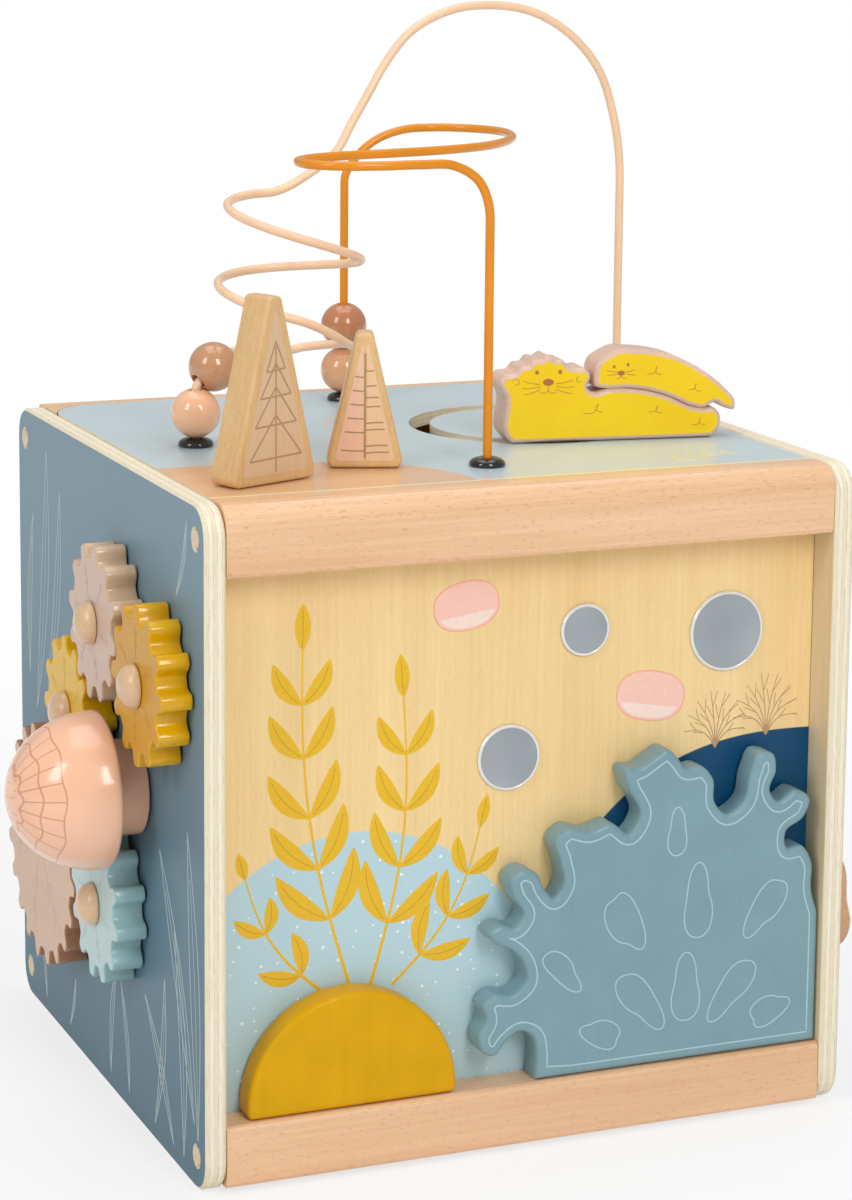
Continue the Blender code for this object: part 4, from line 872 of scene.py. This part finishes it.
def knobFinish():
    # Ring lines where the distance from the panel equals a set one that waves a little with the angle, and
    # meridian lines at even angles between the rings
    made = Finish("knobPeach", 0.22, coat=0.5, coatRoughness=0.08)
    x, y, z = made.parts(made.place)
    out = made.math("SUBTRACT", knobPlace[0], x)
    across, high = y - knobPlace[1], z - knobPlace[2]
    angle = made.math("ARCTAN2", high, across)
    waved = out + made.math("SINE", angle * knob["waves"]) * knob["waveHigh"]
    rings = (*knob["rings"], knob["cap"])
    lines = [made.under(abs(waved - ring), knob["lineWide"], knob["soft"]) for ring in rings]
    away = abs(made.math("FRACT", angle * (knob["meridians"] / (2 * math.pi))) - 0.5)
    metres = away * made.math("SQRT", across * across + high * high) * (2 * math.pi / knob["meridians"])
    between = made.over(waved, knob["rings"][0], 0.0001) * made.under(waved, knob["cap"], 0.0001)
    lines.append(made.under(metres, knob["meridianWide"], knob["soft"]) * between)
    far = made.spots(y, z, knob["dotScale"])[0]
    lines.append(made.under(far, knob["dotSize"], 0.04) * made.over(out, knob["cap"] - 0.0004, 0.0001))
    mark = lines[0]
    for line in lines[1:]:
        mark = made.math("MAXIMUM", mark, line)
    body = made.clouded(made.noise(made.place, 40, 3), (0.985, 0.775, 0.645), (0.965, 0.745, 0.610))
    made.colour(made.mix(mark * 0.75, body, (0.800, 0.520, 0.400)))
    made.bump(made.noise(made.place, 500), 0.00002, 0.3)
    return made.material


addPiece("knob_turned", [knobSheet()], knobFinish(), body="knob", slot="peach",
         standsFor=("dome_knob", "dome_neck"))
print("knob turned")

# Left panel: long thin blades in outline, each with foot and tip in mm and how far it bows
blades = {
    "wide": 0.0008, "spread": 0.045, "ink": (0.700, 0.760, 0.770),
    "places": (
        (-126, 28, -80, 134, 0.03), (-131, 22, -118, 152, 0.02), (-112, 8, -100, 104, 0.05),
        (-98, 8, -58, 62, 0.042), (-72, 8, -86, 78, 0.06), (-34, 8, -22, 56, 0.06),
        (-6, 8, -16, 64, -0.05), (60, 8, 50, 34, 0.06), (118, 22, 104, 120, 0.045),
        (100, 8, 124, 70, 0.06), (112, 150, 92, 278, 0.04), (92, 160, 70, 262, 0.045),
        (124, 165, 116, 244, -0.04), (-104, 250, -118, 284, 0.07),
    ),
}
strokes = []
for *ends, bow in blades["places"]:
    foot, tip = mm(*ends).reshape(2, 2)
    one, other = (leafPath(foot, tip, bow + side * blades["spread"], 40) for side in (1, -1))
    strokes.append(strokeSheet(np.vstack([one, other[::-1]]), blades["wide"], leftFace))
    strokes.append(strokeSheet(leafPath(foot, tip, bow, 40)[3:-6], 0.7 * blades["wide"], leftFace))
addPiece("left_blades", strokes, inkFinish("bladeInk", blades["ink"]), slot="blue_paint")
print("left panel printed")

# Top: pale blue with a bare corner at the front left, and bare edges
topPrint = {
    "blue": (0.790, 0.865, 0.885), "woodLight": (0.935, 0.770, 0.600), "woodDark": (0.880, 0.700, 0.520),
    "corner": {"centre": (-0.150, -0.141), "reach": (0.131, 0.094), "power": 3.0}, "soft": 0.006,
    "thick": 0.006, "rim": 0.0026, "front": -0.1200,
}


def topFinish():
    made = Finish("topPrint", 0.30, coat=0.35, coatRoughness=0.12)
    x, y, z = made.parts(made.mapped(made.place, shift=(-cube["middle"], 0, 0)))
    bareCorner = made.inside(x, y, topPrint["corner"], topPrint["soft"])
    wood, height = grained(made, topPrint["woodLight"], topPrint["woodDark"], "x", 0.15)
    blue = made.clouded(made.noise(made.place, 25, 3), topPrint["blue"], scaled(topPrint["blue"], 0.975))
    face = made.mix(bareCorner, blue, wood)
    rim = made.under(y, topPrint["front"] + topPrint["rim"], 0.0001)
    up = made.over(made.parts(made.normal)[2], 0.5, 0.1)
    layers = made.remap(z, cube["top"] - topPrint["thick"], cube["top"])
    edge = plyEdge(made, layers, made.mapped(made.place, (160, 160, 3000)))
    made.colour(made.mix(up, edge, made.mix(rim, face, (0.985, 0.900, 0.720))))
    made.bump(height + made.noise(made.place, 500), 0.00003, 0.3)
    return made.material


dress(topFinish(), "top_panel", "top_disc")

# A small sprig on the top at the front right
topSprig = {"foot": (0.0720, -0.1090), "tip": (0.1180, -0.0930), "leaf": 0.012, "wide": 0.0030, "lean": 38}
stem = leafPath(topSprig["foot"], topSprig["tip"], 0.10, 30)
strokes = [strokeSheet(stem, np.linspace(0.0008, 0.0004, 31), topFace)]
heading = math.atan2(topSprig["tip"][1] - topSprig["foot"][1], topSprig["tip"][0] - topSprig["foot"][0])
for at in (7, 13, 19, 25):
    for side in (-1, 1):
        away = heading + side * math.radians(topSprig["lean"])
        twig = leafPath(stem[at], stem[at] + ray(away, topSprig["leaf"] * (1.15 - at / 40)), 0.12 * side, 14)
        strokes.append(strokeSheet(twig, leafWidths(topSprig["wide"], 14), topFace))
addPiece("top_sprig", strokes, inkFinish("sprigInk", (0.860, 0.830, 0.640)), slot="top_print")
print("top printed")


def roundedLine(corners, steps=8):
    # A closed outline whose corners, given as (x, y, radius), are turned with arcs
    outline = []
    for k, (x, y, radius) in enumerate(corners):
        here = np.array((x, y))
        last = unit(np.array(corners[k - 1][:2]) - here)
        following = unit(np.array(corners[(k + 1) % len(corners)][:2]) - here)
        half = math.acos(float(np.dot(last, following))) / 2
        middle = here + unit(last + following) * radius / math.sin(half)
        begin, finish = (here + way * radius / math.tan(half) - middle for way in (last, following))
        first = math.atan2(begin[1], begin[0])
        turn = (math.atan2(finish[1], finish[0]) - first + math.pi) % (2 * math.pi) - math.pi
        outline.append(arc(middle, radius, math.degrees(first), math.degrees(first + turn), steps))
    return np.vstack(outline)


def upright(turn):
    # Directions of a plate that stands on the top, turned about the vertical
    turn = math.radians(turn)
    return ((math.cos(turn), math.sin(turn), 0), (0, 0, 1), (math.sin(turn), -math.cos(turn), 0))


# Trees: tapered blocks with a pale face let in from the edges and burnt lines on it. The lines are in mm: a
# stem's ends, the big tree's chevrons as (base, half width, rise), and the small one's rows at each side
treeCut = {
    "footRound": 0.0035, "tipRound": 0.0028, "tipWide": 0.0070, "round": 0.0016, "line": 0.0010,
    "fieldTip": 1.6, "fieldRound": 0.45, "tipShare": 0.7,
}
bigTree = {
    "name": "tree_big", "wide": 0.048, "high": 0.079, "thick": 0.016, "turn": 22.4, "inset": 0.0042,
    "stem": (5, 58),
    "chevrons": ((10.5, 14.5, 18.5), (24.5, 11.5, 16.5), (36.5, 8.5, 14.5), (47.5, 5.2, 12.5)),
}
smallTree = {
    "name": "tree_small", "wide": 0.0342, "high": 0.0586, "thick": 0.014, "turn": -19.5, "inset": 0.0032,
    "stem": (4.5, 50), "gap": 0.0007, "rowLine": 0.0008, "rowEnd": 0.0055, "rowTop": 0.062, "rowRise": 0.0004,
    "rows": ((-1, (7.5, 15.5, 21.5, 27.5, 33.5, 39.5)), (1, (6.5, 9.5, 16.5, 19.5, 26.5, 30.5, 35.5, 42))),
}


def treeLine(tree, inset=0.0):
    # A trapezoid with rounded corners; with an inset, the same one that much further in
    half, tip = tree["wide"] / 2, treeCut["tipWide"] / 2
    slope = (half - tip) / tree["high"]
    side = inset * math.sqrt(1 + slope**2)
    low, high = inset, tree["high"] - treeCut["fieldTip"] * inset
    foot, top = half - slope * low - side, half - slope * high - side
    rounding = treeCut["footRound"] * (treeCut["fieldRound"] if inset else 1.0)
    tipRound = min(treeCut["tipRound"], treeCut["tipShare"] * top)
    corners = ((-foot, low, rounding), (foot, low, rounding), (top, high, tipRound), (-top, high, tipRound))
    return roundedLine(corners)


def treeBlock(tree, finish):
    # The block itself; gives the face that its lines go on, and the outline of the pale field
    name, half = tree["name"], tree["thick"] / 2
    foot, axes = np.array(spins[f"{name}_spin"]), upright(tree["turn"])
    block = plateSheet(treeLine(tree), roundEdges(-half, half, treeCut["round"]), (foot, axes))
    addPiece(f"{name}_block", [block], finish, body=name, slot="beech", standsFor=(name,))
    return (foot + half * np.array(axes[2]), axes), treeLine(tree, tree["inset"])


def treeStem(tree, face):
    foot, tip = (mm(0, height) for height in tree["stem"])
    return strokeSheet(leafPath(foot, tip, 0.0, 12), treeCut["line"], face)


def treeField(name, outline, face, light, dark, material):
    # Part of the pale field, without points that repeat the one before them
    outline = outline[np.linalg.norm(outline - np.roll(outline, 1, 0), axis=1) > 0.00001]
    finish = woodFinish(material, light, dark, "z", 0.2)
    addPiece(name, [plateSheet(outline, thinInk, face)], finish, body=name.rsplit("_", 1)[0])


treeWood = woodFinish("treeWood", (0.905, 0.760, 0.545), (0.835, 0.670, 0.450), "z", 0.35)
burntInk = inkFinish("burntInk", (0.700, 0.560, 0.410))
bigFace, bigField = treeBlock(bigTree, treeWood)
smallFace, smallField = treeBlock(smallTree, treeWood)
treeField("tree_big_face", bigField, bigFace, (0.885, 0.760, 0.615), (0.850, 0.715, 0.565), "bigTreeFace")
strokes = [treeStem(bigTree, bigFace)]
for base, half, rise in bigTree["chevrons"]:
    corners = mm((-half, base), (half, base + 1), (0, base + rise), (-half, base))
    chevron = np.vstack([leafPath(a, b, 0.0, 6) for a, b in zip(corners[:-1], corners[1:])])
    strokes.append(strokeSheet(chevron, treeCut["line"], bigFace))
addPiece("tree_big_lines", strokes, burntInk, body="tree_big")

leftHalf, rightHalf = smallField.copy(), smallField.copy()
leftHalf[:, 0] = np.minimum(smallField[:, 0], -smallTree["gap"])
rightHalf[:, 0] = np.maximum(smallField[:, 0], smallTree["gap"])
treeField("tree_small_left", leftHalf, smallFace, (0.960, 0.790, 0.680), (0.930, 0.745, 0.625), "smallTreePink")
treeField("tree_small_right", rightHalf, smallFace, (0.940, 0.805, 0.645), (0.905, 0.760, 0.590),
          "smallTreeBeige")
strokes = [treeStem(smallTree, smallFace)]
for side, rows in smallTree["rows"]:
    for height in mm(*rows):
        reach = (smallTree["wide"] / 2 - smallTree["rowEnd"]) * (1 - height / smallTree["rowTop"])
        row = leafPath((0.0, height), (side * reach, height + smallTree["rowRise"]), 0.02, 8)
        strokes.append(strokeSheet(row, smallTree["rowLine"], smallFace))
addPiece("tree_small_lines", strokes, burntInk, body="tree_small")
print("trees made")

# Otter and young: outlines in mm from the slider's pin, along the plate and up from its foot
otterCut = {"thick": 0.020, "round": 0.0023, "halfGap": 0.00002, "turn": -8, "lift": 0.0003, "line": 0.00045}
otterSeam = (
    (-1.5, 23.6), (8, 23.6), (18, 22.2), (28.5, 19), (38.5, 14.6), (45, 13.4),
)
otterHead = (
    (-46.2, 0), (-49.2, 3.5), (-49.6, 22), (-52.2, 27.5), (-50, 31), (-44.7, 32), (-42, 35),
    (-38.8, 35.3), (-36, 38), (-32.8, 37.7), (-29.5, 39.5), (-26.2, 37.5), (-23, 37.5), (-20.5, 34.5),
    (-17, 33.5), (-12.5, 33.5), (-9.5, 30), (-10.8, 24), (-8, 22.2),
)
otterBack = (
    (49.5, 13.6), (53, 9.5), (52.5, 4), (49, 0),
)
youngBack = (
    (50, 15.8), (55, 13.2), (59.7, 12.5), (60, 16), (54.9, 22.5), (46.2, 29.5), (37.2, 34.8),
    (28.3, 38.6), (19.5, 40.5), (10.8, 41.4), (4.5, 41.7), (-1, 39.5), (-6.2, 35.8), (-7.8, 30),
    (-7.4, 25.2),
)
otterAxes = upright(otterCut["turn"])


def otterFinish():
    # Yellow print where the surface looks straight forwards or back, and bare pinkish wood round it
    made = Finish("otterPrint", 0.36, coat=0.1, coatRoughness=0.15, specular=0.35)
    normal = made.parts(made.normal)
    facing = normal[0] * otterAxes[2][0] + normal[1] * otterAxes[2][1]
    printed = made.over(abs(facing), 0.985, 0.004)
    yellow = made.clouded(made.noise(made.place, 38, 3), (1.000, 0.850, 0.060), (0.985, 0.810, 0.000))
    wood, height = grained(made, (0.930, 0.805, 0.720), (0.850, 0.705, 0.620), "x", 0.3)
    made.colour(made.mix(printed, wood, yellow))
    made.bump(height + made.noise(made.place, 600), 0.00003, 0.3)
    return made.material


seam, gap = mm(*otterSeam), np.array((0, otterCut["halfGap"]))
adult = np.vstack([mm(*otterHead), seam - gap, mm(*otterBack)])
young = np.vstack([seam + gap, mm(*youngBack)])
otterPlace = np.array((*spins["otter_spin"][:2], cube["top"] + otterCut["lift"]))
half = otterCut["thick"] / 2
otterPrint = otterFinish()
for name, points, sharp in (("otter_adult", adult, (0, len(adult) - 1)), ("otter_young", young, ())):
    outline = closedCurve(points, 12, sharp)
    sawn = plateSheet(outline, roundEdges(-half, half, otterCut["round"], 6), (otterPlace, otterAxes))
    addPiece(f"{name}_sawn", [sawn], otterPrint, body="otter", slot="otter_yellow", standsFor=(name,))

# Plain printed faces and paws in mm: spots with middle and reach, and lines with foot, tip and bow
otterFaceSpots = (
    (-35.2, 32.2, 0.85, 1), (-24.3, 32.2, 0.85, 1), (-29.8, 27.6, 2.6, 1.6), (1.2, 33.8, 0.65, 0.8),
    (7.8, 34.6, 0.65, 0.8), (4.6, 30.8, 1.8, 1.1),
)
otterFaceLines = (
    (-29.8, 26.2, -29.8, 23.8, 0.0), (-29.8, 23.8, -33.8, 23.2, 0.22), (-29.8, 23.8, -25.8, 23.2, -0.22),
    (-33.5, 26.8, -41.5, 28.4, 0.04), (-33.5, 25.6, -42, 25.2, 0.04), (-33.5, 24.4, -41.2, 22.1, 0.04),
    (-26.1, 26.8, -18.1, 28.4, -0.04), (-26.1, 25.6, -17.6, 25.2, -0.04),
    (-26.1, 24.4, -18.4, 22.1, -0.04), (-45.5, 26.8, -44, 29.2, -0.5), (-44, 29.2, -46.5, 28.5, -0.3),
    (-14.5, 27.2, -15.8, 30, 0.5), (-13, 13, -6, 17.2, -0.28), (-6, 17.2, -4, 13.2, -0.45),
    (18, 12.6, 22.5, 15.7, -0.28), (22.5, 15.7, 24.5, 11.8, -0.45), (39, 6, 43, 9.2, -0.28),
    (43, 9.2, 45.5, 6, -0.45), (4.6, 29.8, 2.2, 28.2, 0.2), (4.6, 29.8, 7.2, 28.4, -0.2),
    (2.5, 31.4, -2.2, 32.2, 0.04), (2.6, 30.4, -2, 30, 0.04), (6.8, 31.4, 11.2, 32.2, -0.04),
    (6.8, 30.4, 11.2, 29.8, -0.04), (17, 30, 21.6, 33.5, -0.28), (21.6, 33.5, 24, 29.6, -0.4),
    (37, 22.2, 40.5, 25.2, -0.28), (40.5, 25.2, 43, 21.4, -0.4),
)
face = (otterPlace + half * np.array(otterAxes[2]), otterAxes)
spots = []
for along, up, *reach in otterFaceSpots:
    spots.append(plateSheet(mm(along, up) + oval(mm(*reach), 28), thinInk, face))
strokes = []
for *ends, bow in otterFaceLines:
    strokes.append(strokeSheet(leafPath(*mm(*ends).reshape(2, 2), bow, 12), otterCut["line"], face))
addPiece("otter_faces", spots, inkFinish("noseInk", (0.700, 0.420, 0.220)), body="otter")
addPiece("otter_lines", strokes, inkFinish("otterInk", (0.800, 0.575, 0.180)), body="otter")
print("otters sawn")

# Bead wires, from below the top at one foot to below it at the other. Rows of points are in mm from a foot
wire = {
    "radius": 0.002, "step": 0.0025, "low": -0.0145, "legTop": 0.107, "footBend": 0.006,
    "footStraight": 0.0243, "bend": 0.038, "bendStart": -12, "bendEnd": 50, "heading": 199.4,
}
orangeFromFront = (
    (-5.5, -1, 123.5), (-18.5, -3.5, 131), (-34, -6.2, 132), (-52, -7, 132), (-69, -3, 132),
    (-79.5, 9, 132), (-78.5, 25, 132), (-66, 38.5, 132), (-47, 46.5, 132), (-23, 53, 132), (6, 63, 132),
    (32, 79, 132),
)
orangeFromBack = (
    (49, -84, 132), (63, -56, 132), (68, -30, 132), (61.5, -10, 132), (46, 0.5, 132), (29, 0, 131),
    (17, 0, 127), (7, 0, 119.5),
)
peachFromRight = (
    (-1.5, -0.4, 126), (-5.3, -1, 142.8), (-13, -2.9, 161), (-29, -4.8, 178.5), (-51, -6.7, 190.2),
    (-73.5, -8.6, 193.4),
)
peachFromLeft = (
    (139, 39, 191.5), (116.9, 37.1, 181.2), (103.8, 35.2, 166.9), (95.2, 33.3, 154), (86, 31.5, 140),
    (78, 30, 127.5), (66, 30, 118.5),
)
coil = {
    "radius": 0.031, "topAxis": 0.0482, "lowAxis": 0.0402, "axisY": -0.0015, "start": 0.1013, "pitch": 0.035,
    "tilt": 0.0038, "end": 0.043, "returnRadius": 0.018, "returnTurn": 109.4, "returnDrop": 0.0045,
}
feet = {}
for label in ("orange_front", "orange_back", "peach_right", "peach_left"):
    low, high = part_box(f"cup_{label}")
    feet[label] = np.array(((low.x + high.x) / 2, (low.y + high.y) / 2, cube["top"]))


def coilPoints():
    # A helix whose axis drifts with the turns, tilted, levelling out at its end, and an arc back from there
    degrees = np.arange(90, 720.1, 22.5)
    angle, down = np.radians(degrees), (degrees - 90) / 630
    height = coil["start"] - coil["pitch"] * (degrees - 180) / 360 - coil["tilt"] * np.cos(angle)
    settle = np.clip((degrees - 630) / 90, 0, 1)
    height += (coil["end"] - height) * settle**2 * (3 - 2 * settle)
    x = coil["topAxis"] + (coil["lowAxis"] - coil["topAxis"]) * down + coil["radius"] * np.cos(angle)
    turns = np.stack([x, coil["axisY"] + coil["radius"] * np.sin(angle), height], -1)
    share = np.array((0.25, 0.5, 0.75, 1.0))
    angle, radius = np.radians(coil["returnTurn"] * share), coil["returnRadius"]
    back = np.stack([radius * (np.cos(angle) - 1), radius * np.sin(angle), -coil["returnDrop"] * share], -1)
    return feet["peach_left"] + np.vstack([turns, turns[-1] + back])


def bendPoints(degrees, radius, start):
    # Points of an arc in the upright plane of the left foot, at angles below level, after (run, height)
    angle, heading = np.radians(degrees), math.radians(wire["heading"])
    run, height = start[0] + radius * np.sin(angle), start[1] + radius * np.cos(angle)
    return feet["peach_left"] + np.stack([run * math.cos(heading), run * math.sin(heading), height], -1)


def wireFinish(name, colour):
    # Powder coat: glossy, with a fine orange-peel skin
    made = Finish(name, 0.30, coat=0.25, coatRoughness=0.16, specular=0.35)
    made.colour(made.clouded(made.noise(made.place, 60), colour, scaled(colour, 0.96)))
    made.bump(made.noise(made.place, 1100), 0.000004, 0.3)
    return made.material


last, larger = math.radians(wire["bendEnd"]), wire["bend"] - wire["footBend"]
tight = (-wire["footBend"], wire["footStraight"])
wide = (tight[0] - larger * math.sin(last), tight[1] - larger * math.cos(last))
turns = coilPoints()
bend = bendPoints(np.linspace(wire["bendStart"], wire["bendEnd"], 33), wire["bend"], wide)
tightBend = bendPoints(np.linspace(wire["bendEnd"], 90, 15)[1:], wire["footBend"], tight)
low, high = (0, 0, wire["low"]), (0, 0, wire["legTop"])
orangeRoute = np.vstack([
    feet["orange_front"] + high, feet["orange_front"] + mm(*orangeFromFront),
    feet["orange_back"] + mm(*orangeFromBack), feet["orange_back"] + high,
])
orangeLine = openCurve(orangeRoute, wire["step"], (0, 0, 1), (0, 0, -1))
orangeLine = np.vstack([feet["orange_front"] + low, orangeLine, feet["orange_back"] + low])
peachRoute = np.vstack([
    feet["peach_right"] + high, feet["peach_right"] + mm(*peachFromRight),
    feet["peach_left"] + mm(*peachFromLeft), turns,
])
peachLine = openCurve(peachRoute, wire["step"], (0, 0, 1), unit(bend[0] - turns[-1]))
peachLine = np.vstack([feet["peach_right"] + low, peachLine, bend, tightBend, feet["peach_left"] + low])
for label, line, colour in (
    ("orange", orangeLine, (0.920, 0.565, 0.000)), ("peach", peachLine, (1.000, 0.835, 0.685)),
):
    addPiece(f"wire_{label}_bent", [tubeSheet(line, wire["radius"])], wireFinish(f"{label}Coat", colour),
             slot=f"{label}_wire", standsFor=(f"wire_{label}",))
print("wires bent")

# Cups over the wires' feet: low black domes with a hole
cup = {
    "radius": 0.0080, "height": 0.0036, "rim": 0.0005, "bore": 0.0024, "lip": 0.0004, "lift": 0.0003,
    "footIn": 0.0003, "footUp": 0.0002,
}


def cupFinish():
    made = Finish("blackCup", 0.16, coat=0.5, coatRoughness=0.04)
    made.colour(made.mix(made.noise(made.place, 700), (0.075, 0.070, 0.068), (0.125, 0.115, 0.110)))
    made.bump(made.noise(made.place, 350), 0.00002, 0.25)
    return made.material


around = np.radians(np.linspace(0, 90, 21))
shoulder = cup["bore"] + cup["lip"]
dome = np.stack([
    shoulder + (cup["radius"] - cup["bore"] - cup["lip"]) * np.cos(around) ** 0.92,
    cup["rim"] + (cup["height"] - cup["rim"]) * np.sin(around),
], -1)
lip = arc((shoulder, cup["height"] - cup["lip"]), cup["lip"], 90, 180, 4)
foot = [(cup["bore"], 0), (cup["radius"] - cup["footIn"], 0), (cup["radius"], cup["footUp"])]
cupLine = np.vstack([foot, dome, lip])
blackCup = cupFinish()
for label, foot in feet.items():
    moulded = turnedSheet(cupLine, foot + (0, 0, cup["lift"]), (0, 0, 1), 48, looped=True)
    addPiece(f"cup_{label}_moulded", [moulded], blackCup, slot="black_cup", standsFor=(f"cup_{label}",))

# Beads: turned balls, bored, with softened lips
bead = {
    "radius": 0.0112, "bore": 0.0032, "lipAngle": 70.5, "rest": 33.36,
    "lip": ((0, 0.0097), (0.0001, 0.0102), (0.0003, 0.01045)),
}
heading, rest = math.radians(wire["heading"]), math.radians(bead["rest"])
slant = (math.cos(rest) * math.cos(heading), math.cos(rest) * math.sin(heading), -math.sin(rest))
beads = (
    ("bead_tan", (0.890, 0.655, 0.475), (0, 0, 1)), ("bead_terracotta", (0.780, 0.510, 0.330), (0, 0, 1)),
    ("bead_pink", (1.000, 0.775, 0.615), (0, 0, 1)), ("bead_brown", (0.795, 0.590, 0.430), slant),
)


def beadFinish(name, colour):
    # Thick enamel: one even colour with a very slight waviness that breaks up its highlights
    made = Finish(f"{name}Gloss", 0.18, coat=0.6, coatRoughness=0.06)
    slow = made.noise(made.place, 60)
    made.colour(made.clouded(slow, colour, scaled(colour, 0.97)))
    made.bump(slow, 0.00012, 0.25)
    return made.material


lip = np.array(bead["lip"]) + (bead["bore"], 0)
ball = arc((0, 0), bead["radius"], bead["lipAngle"], -bead["lipAngle"], 40)
beadLine = np.vstack([lip, ball, lip[::-1] * (1, -1)])
for name, colour, axis in beads:
    low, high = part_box(name)
    turned = turnedSheet(beadLine, (low + high) / 2, axis, 64, looped=True)
    addPiece(f"{name}_turned", [turned], beadFinish(name, colour), body=name,
             slot=name.replace("bead_", "") + "_bead", standsFor=(name,))
print("beads turned")

# Floor: pale and lit near the object, and a plain white further off for the eye and for reflections
stage = {"reach": 9.0, "near": 0.30, "far": 0.9, "lift": 0.72, "colour": (0.955, 0.955, 0.955)}


def floorFinish():
    made = Finish("floorPaper", 0.9)
    made.colour(stage["colour"])
    x, y = made.parts(made.place)[:2]
    away = made.math("SQRT", x * x + y * y)
    rays, kinds = made.nodes.new("ShaderNodeLightPath").outputs, ("Camera", "Glossy", "Transmission")
    seen, glossy, through = (Signal(made, rays[f"Is {kind} Ray"]) for kind in kinds)
    direct = made.math("MAXIMUM", made.math("MAXIMUM", seen, glossy), through)
    white = made.nodes.new("ShaderNodeEmission")
    white.inputs["Color"].default_value = (1, 1, 1, 1)
    mixed = made.nodes.new("ShaderNodeMixShader")
    made.feed(mixed.inputs[0], made.remap(away, stage["near"], stage["far"], stage["lift"], 1.0) * direct)
    made.links.new(made.shader.outputs[0], mixed.inputs[1])
    made.links.new(white.outputs[0], mixed.inputs[2])
    made.links.new(mixed.outputs[0], made.nodes["Material Output"].inputs["Surface"])
    return made.material


far = stage["reach"]
ground = sheet([[(-far, -far, 0), (far, -far, 0)], [(-far, far, 0), (far, far, 0)]])
floor = addObject("floor", meshOf("floor", [ground]), floorFinish())

# World: a soft even fill, and plain white where it is seen or looked through to
fillStrength = 0.45
world = bpy.data.worlds.new("studio")
bpy.context.scene.world = world
world.use_nodes = True
nodes, links = world.node_tree.nodes, world.node_tree.links
fill, shown = nodes["Background"], nodes.new("ShaderNodeBackground")
for background in (fill, shown):
    background.inputs["Color"].default_value = (1, 1, 1, 1)
fill.inputs["Strength"].default_value = fillStrength
rays, direct = nodes.new("ShaderNodeLightPath"), nodes.new("ShaderNodeMath")
direct.operation = "MAXIMUM"
choice = nodes.new("ShaderNodeMixShader")
for output, socket in (
    (rays.outputs["Is Camera Ray"], direct.inputs[0]),
    (rays.outputs["Is Transmission Ray"], direct.inputs[1]),
    (direct.outputs[0], choice.inputs[0]),
    (fill.outputs[0], choice.inputs[1]),
    (shown.outputs[0], choice.inputs[2]),
    (choice.outputs[0], nodes["World Output"].inputs["Surface"]),
):
    links.new(output, socket)

# Lamps: two tall soft boxes in front, and a wide one above, all aimed at the cube
aim = Vector((0.0, 0.0, 0.20))
lamps = (
    {"name": "left_box", "place": (-1.56, -0.68, 1.35), "size": (0.50, 0.90), "watts": 9},
    {"name": "right_box", "place": (0.10, -1.75, 1.35), "size": (0.50, 0.90), "watts": 14},
    {"name": "top_box", "place": (0.10, 0.30, 2.10), "size": (1.60, 1.60), "watts": 14},
)
for lamp in lamps:
    data = bpy.data.lights.new(lamp["name"], "AREA")
    data.shape = "RECTANGLE"
    data.size, data.size_y = lamp["size"]
    data.energy = lamp["watts"]
    box = addObject(lamp["name"], data)
    box.location = lamp["place"]
    box.rotation_euler = (aim - Vector(lamp["place"])).to_track_quat("-Z", "Y").to_euler()

# Camera at the photograph's angle
shot = {
    "yaw": -22.5333, "pitch": 9.4326, "roll": 0.5283, "place": (-0.527749, -1.335091, 0.538965),
    "focal": 3185.7, "high": 1200, "below": 180, "sensor": 36,
}
yaw, pitch, roll = (math.radians(shot[key]) for key in ("yaw", "pitch", "roll"))
back = Vector((math.sin(yaw) * math.cos(pitch), -math.cos(yaw) * math.cos(pitch), math.sin(pitch)))
right = Vector((math.cos(yaw), math.sin(yaw), 0))
up = back.cross(right)
rolledRight = right * math.cos(roll) + up * math.sin(roll)
rolledUp = up * math.cos(roll) - right * math.sin(roll)
cameraData = bpy.data.cameras.new("camera")
cameraData.sensor_width = shot["sensor"]
cameraData.lens = shot["focal"] / shot["high"] * shot["sensor"]
cameraData.shift_y = -shot["below"] / shot["high"]
camera = addObject("camera", cameraData)
turned = Matrix((rolledRight, rolledUp, back)).transposed().to_4x4()
turned.translation = shot["place"]
camera.matrix_world = turned
bpy.context.scene.camera = camera
bpy.context.scene.view_settings.view_transform = "Standard"

print("scene complete")
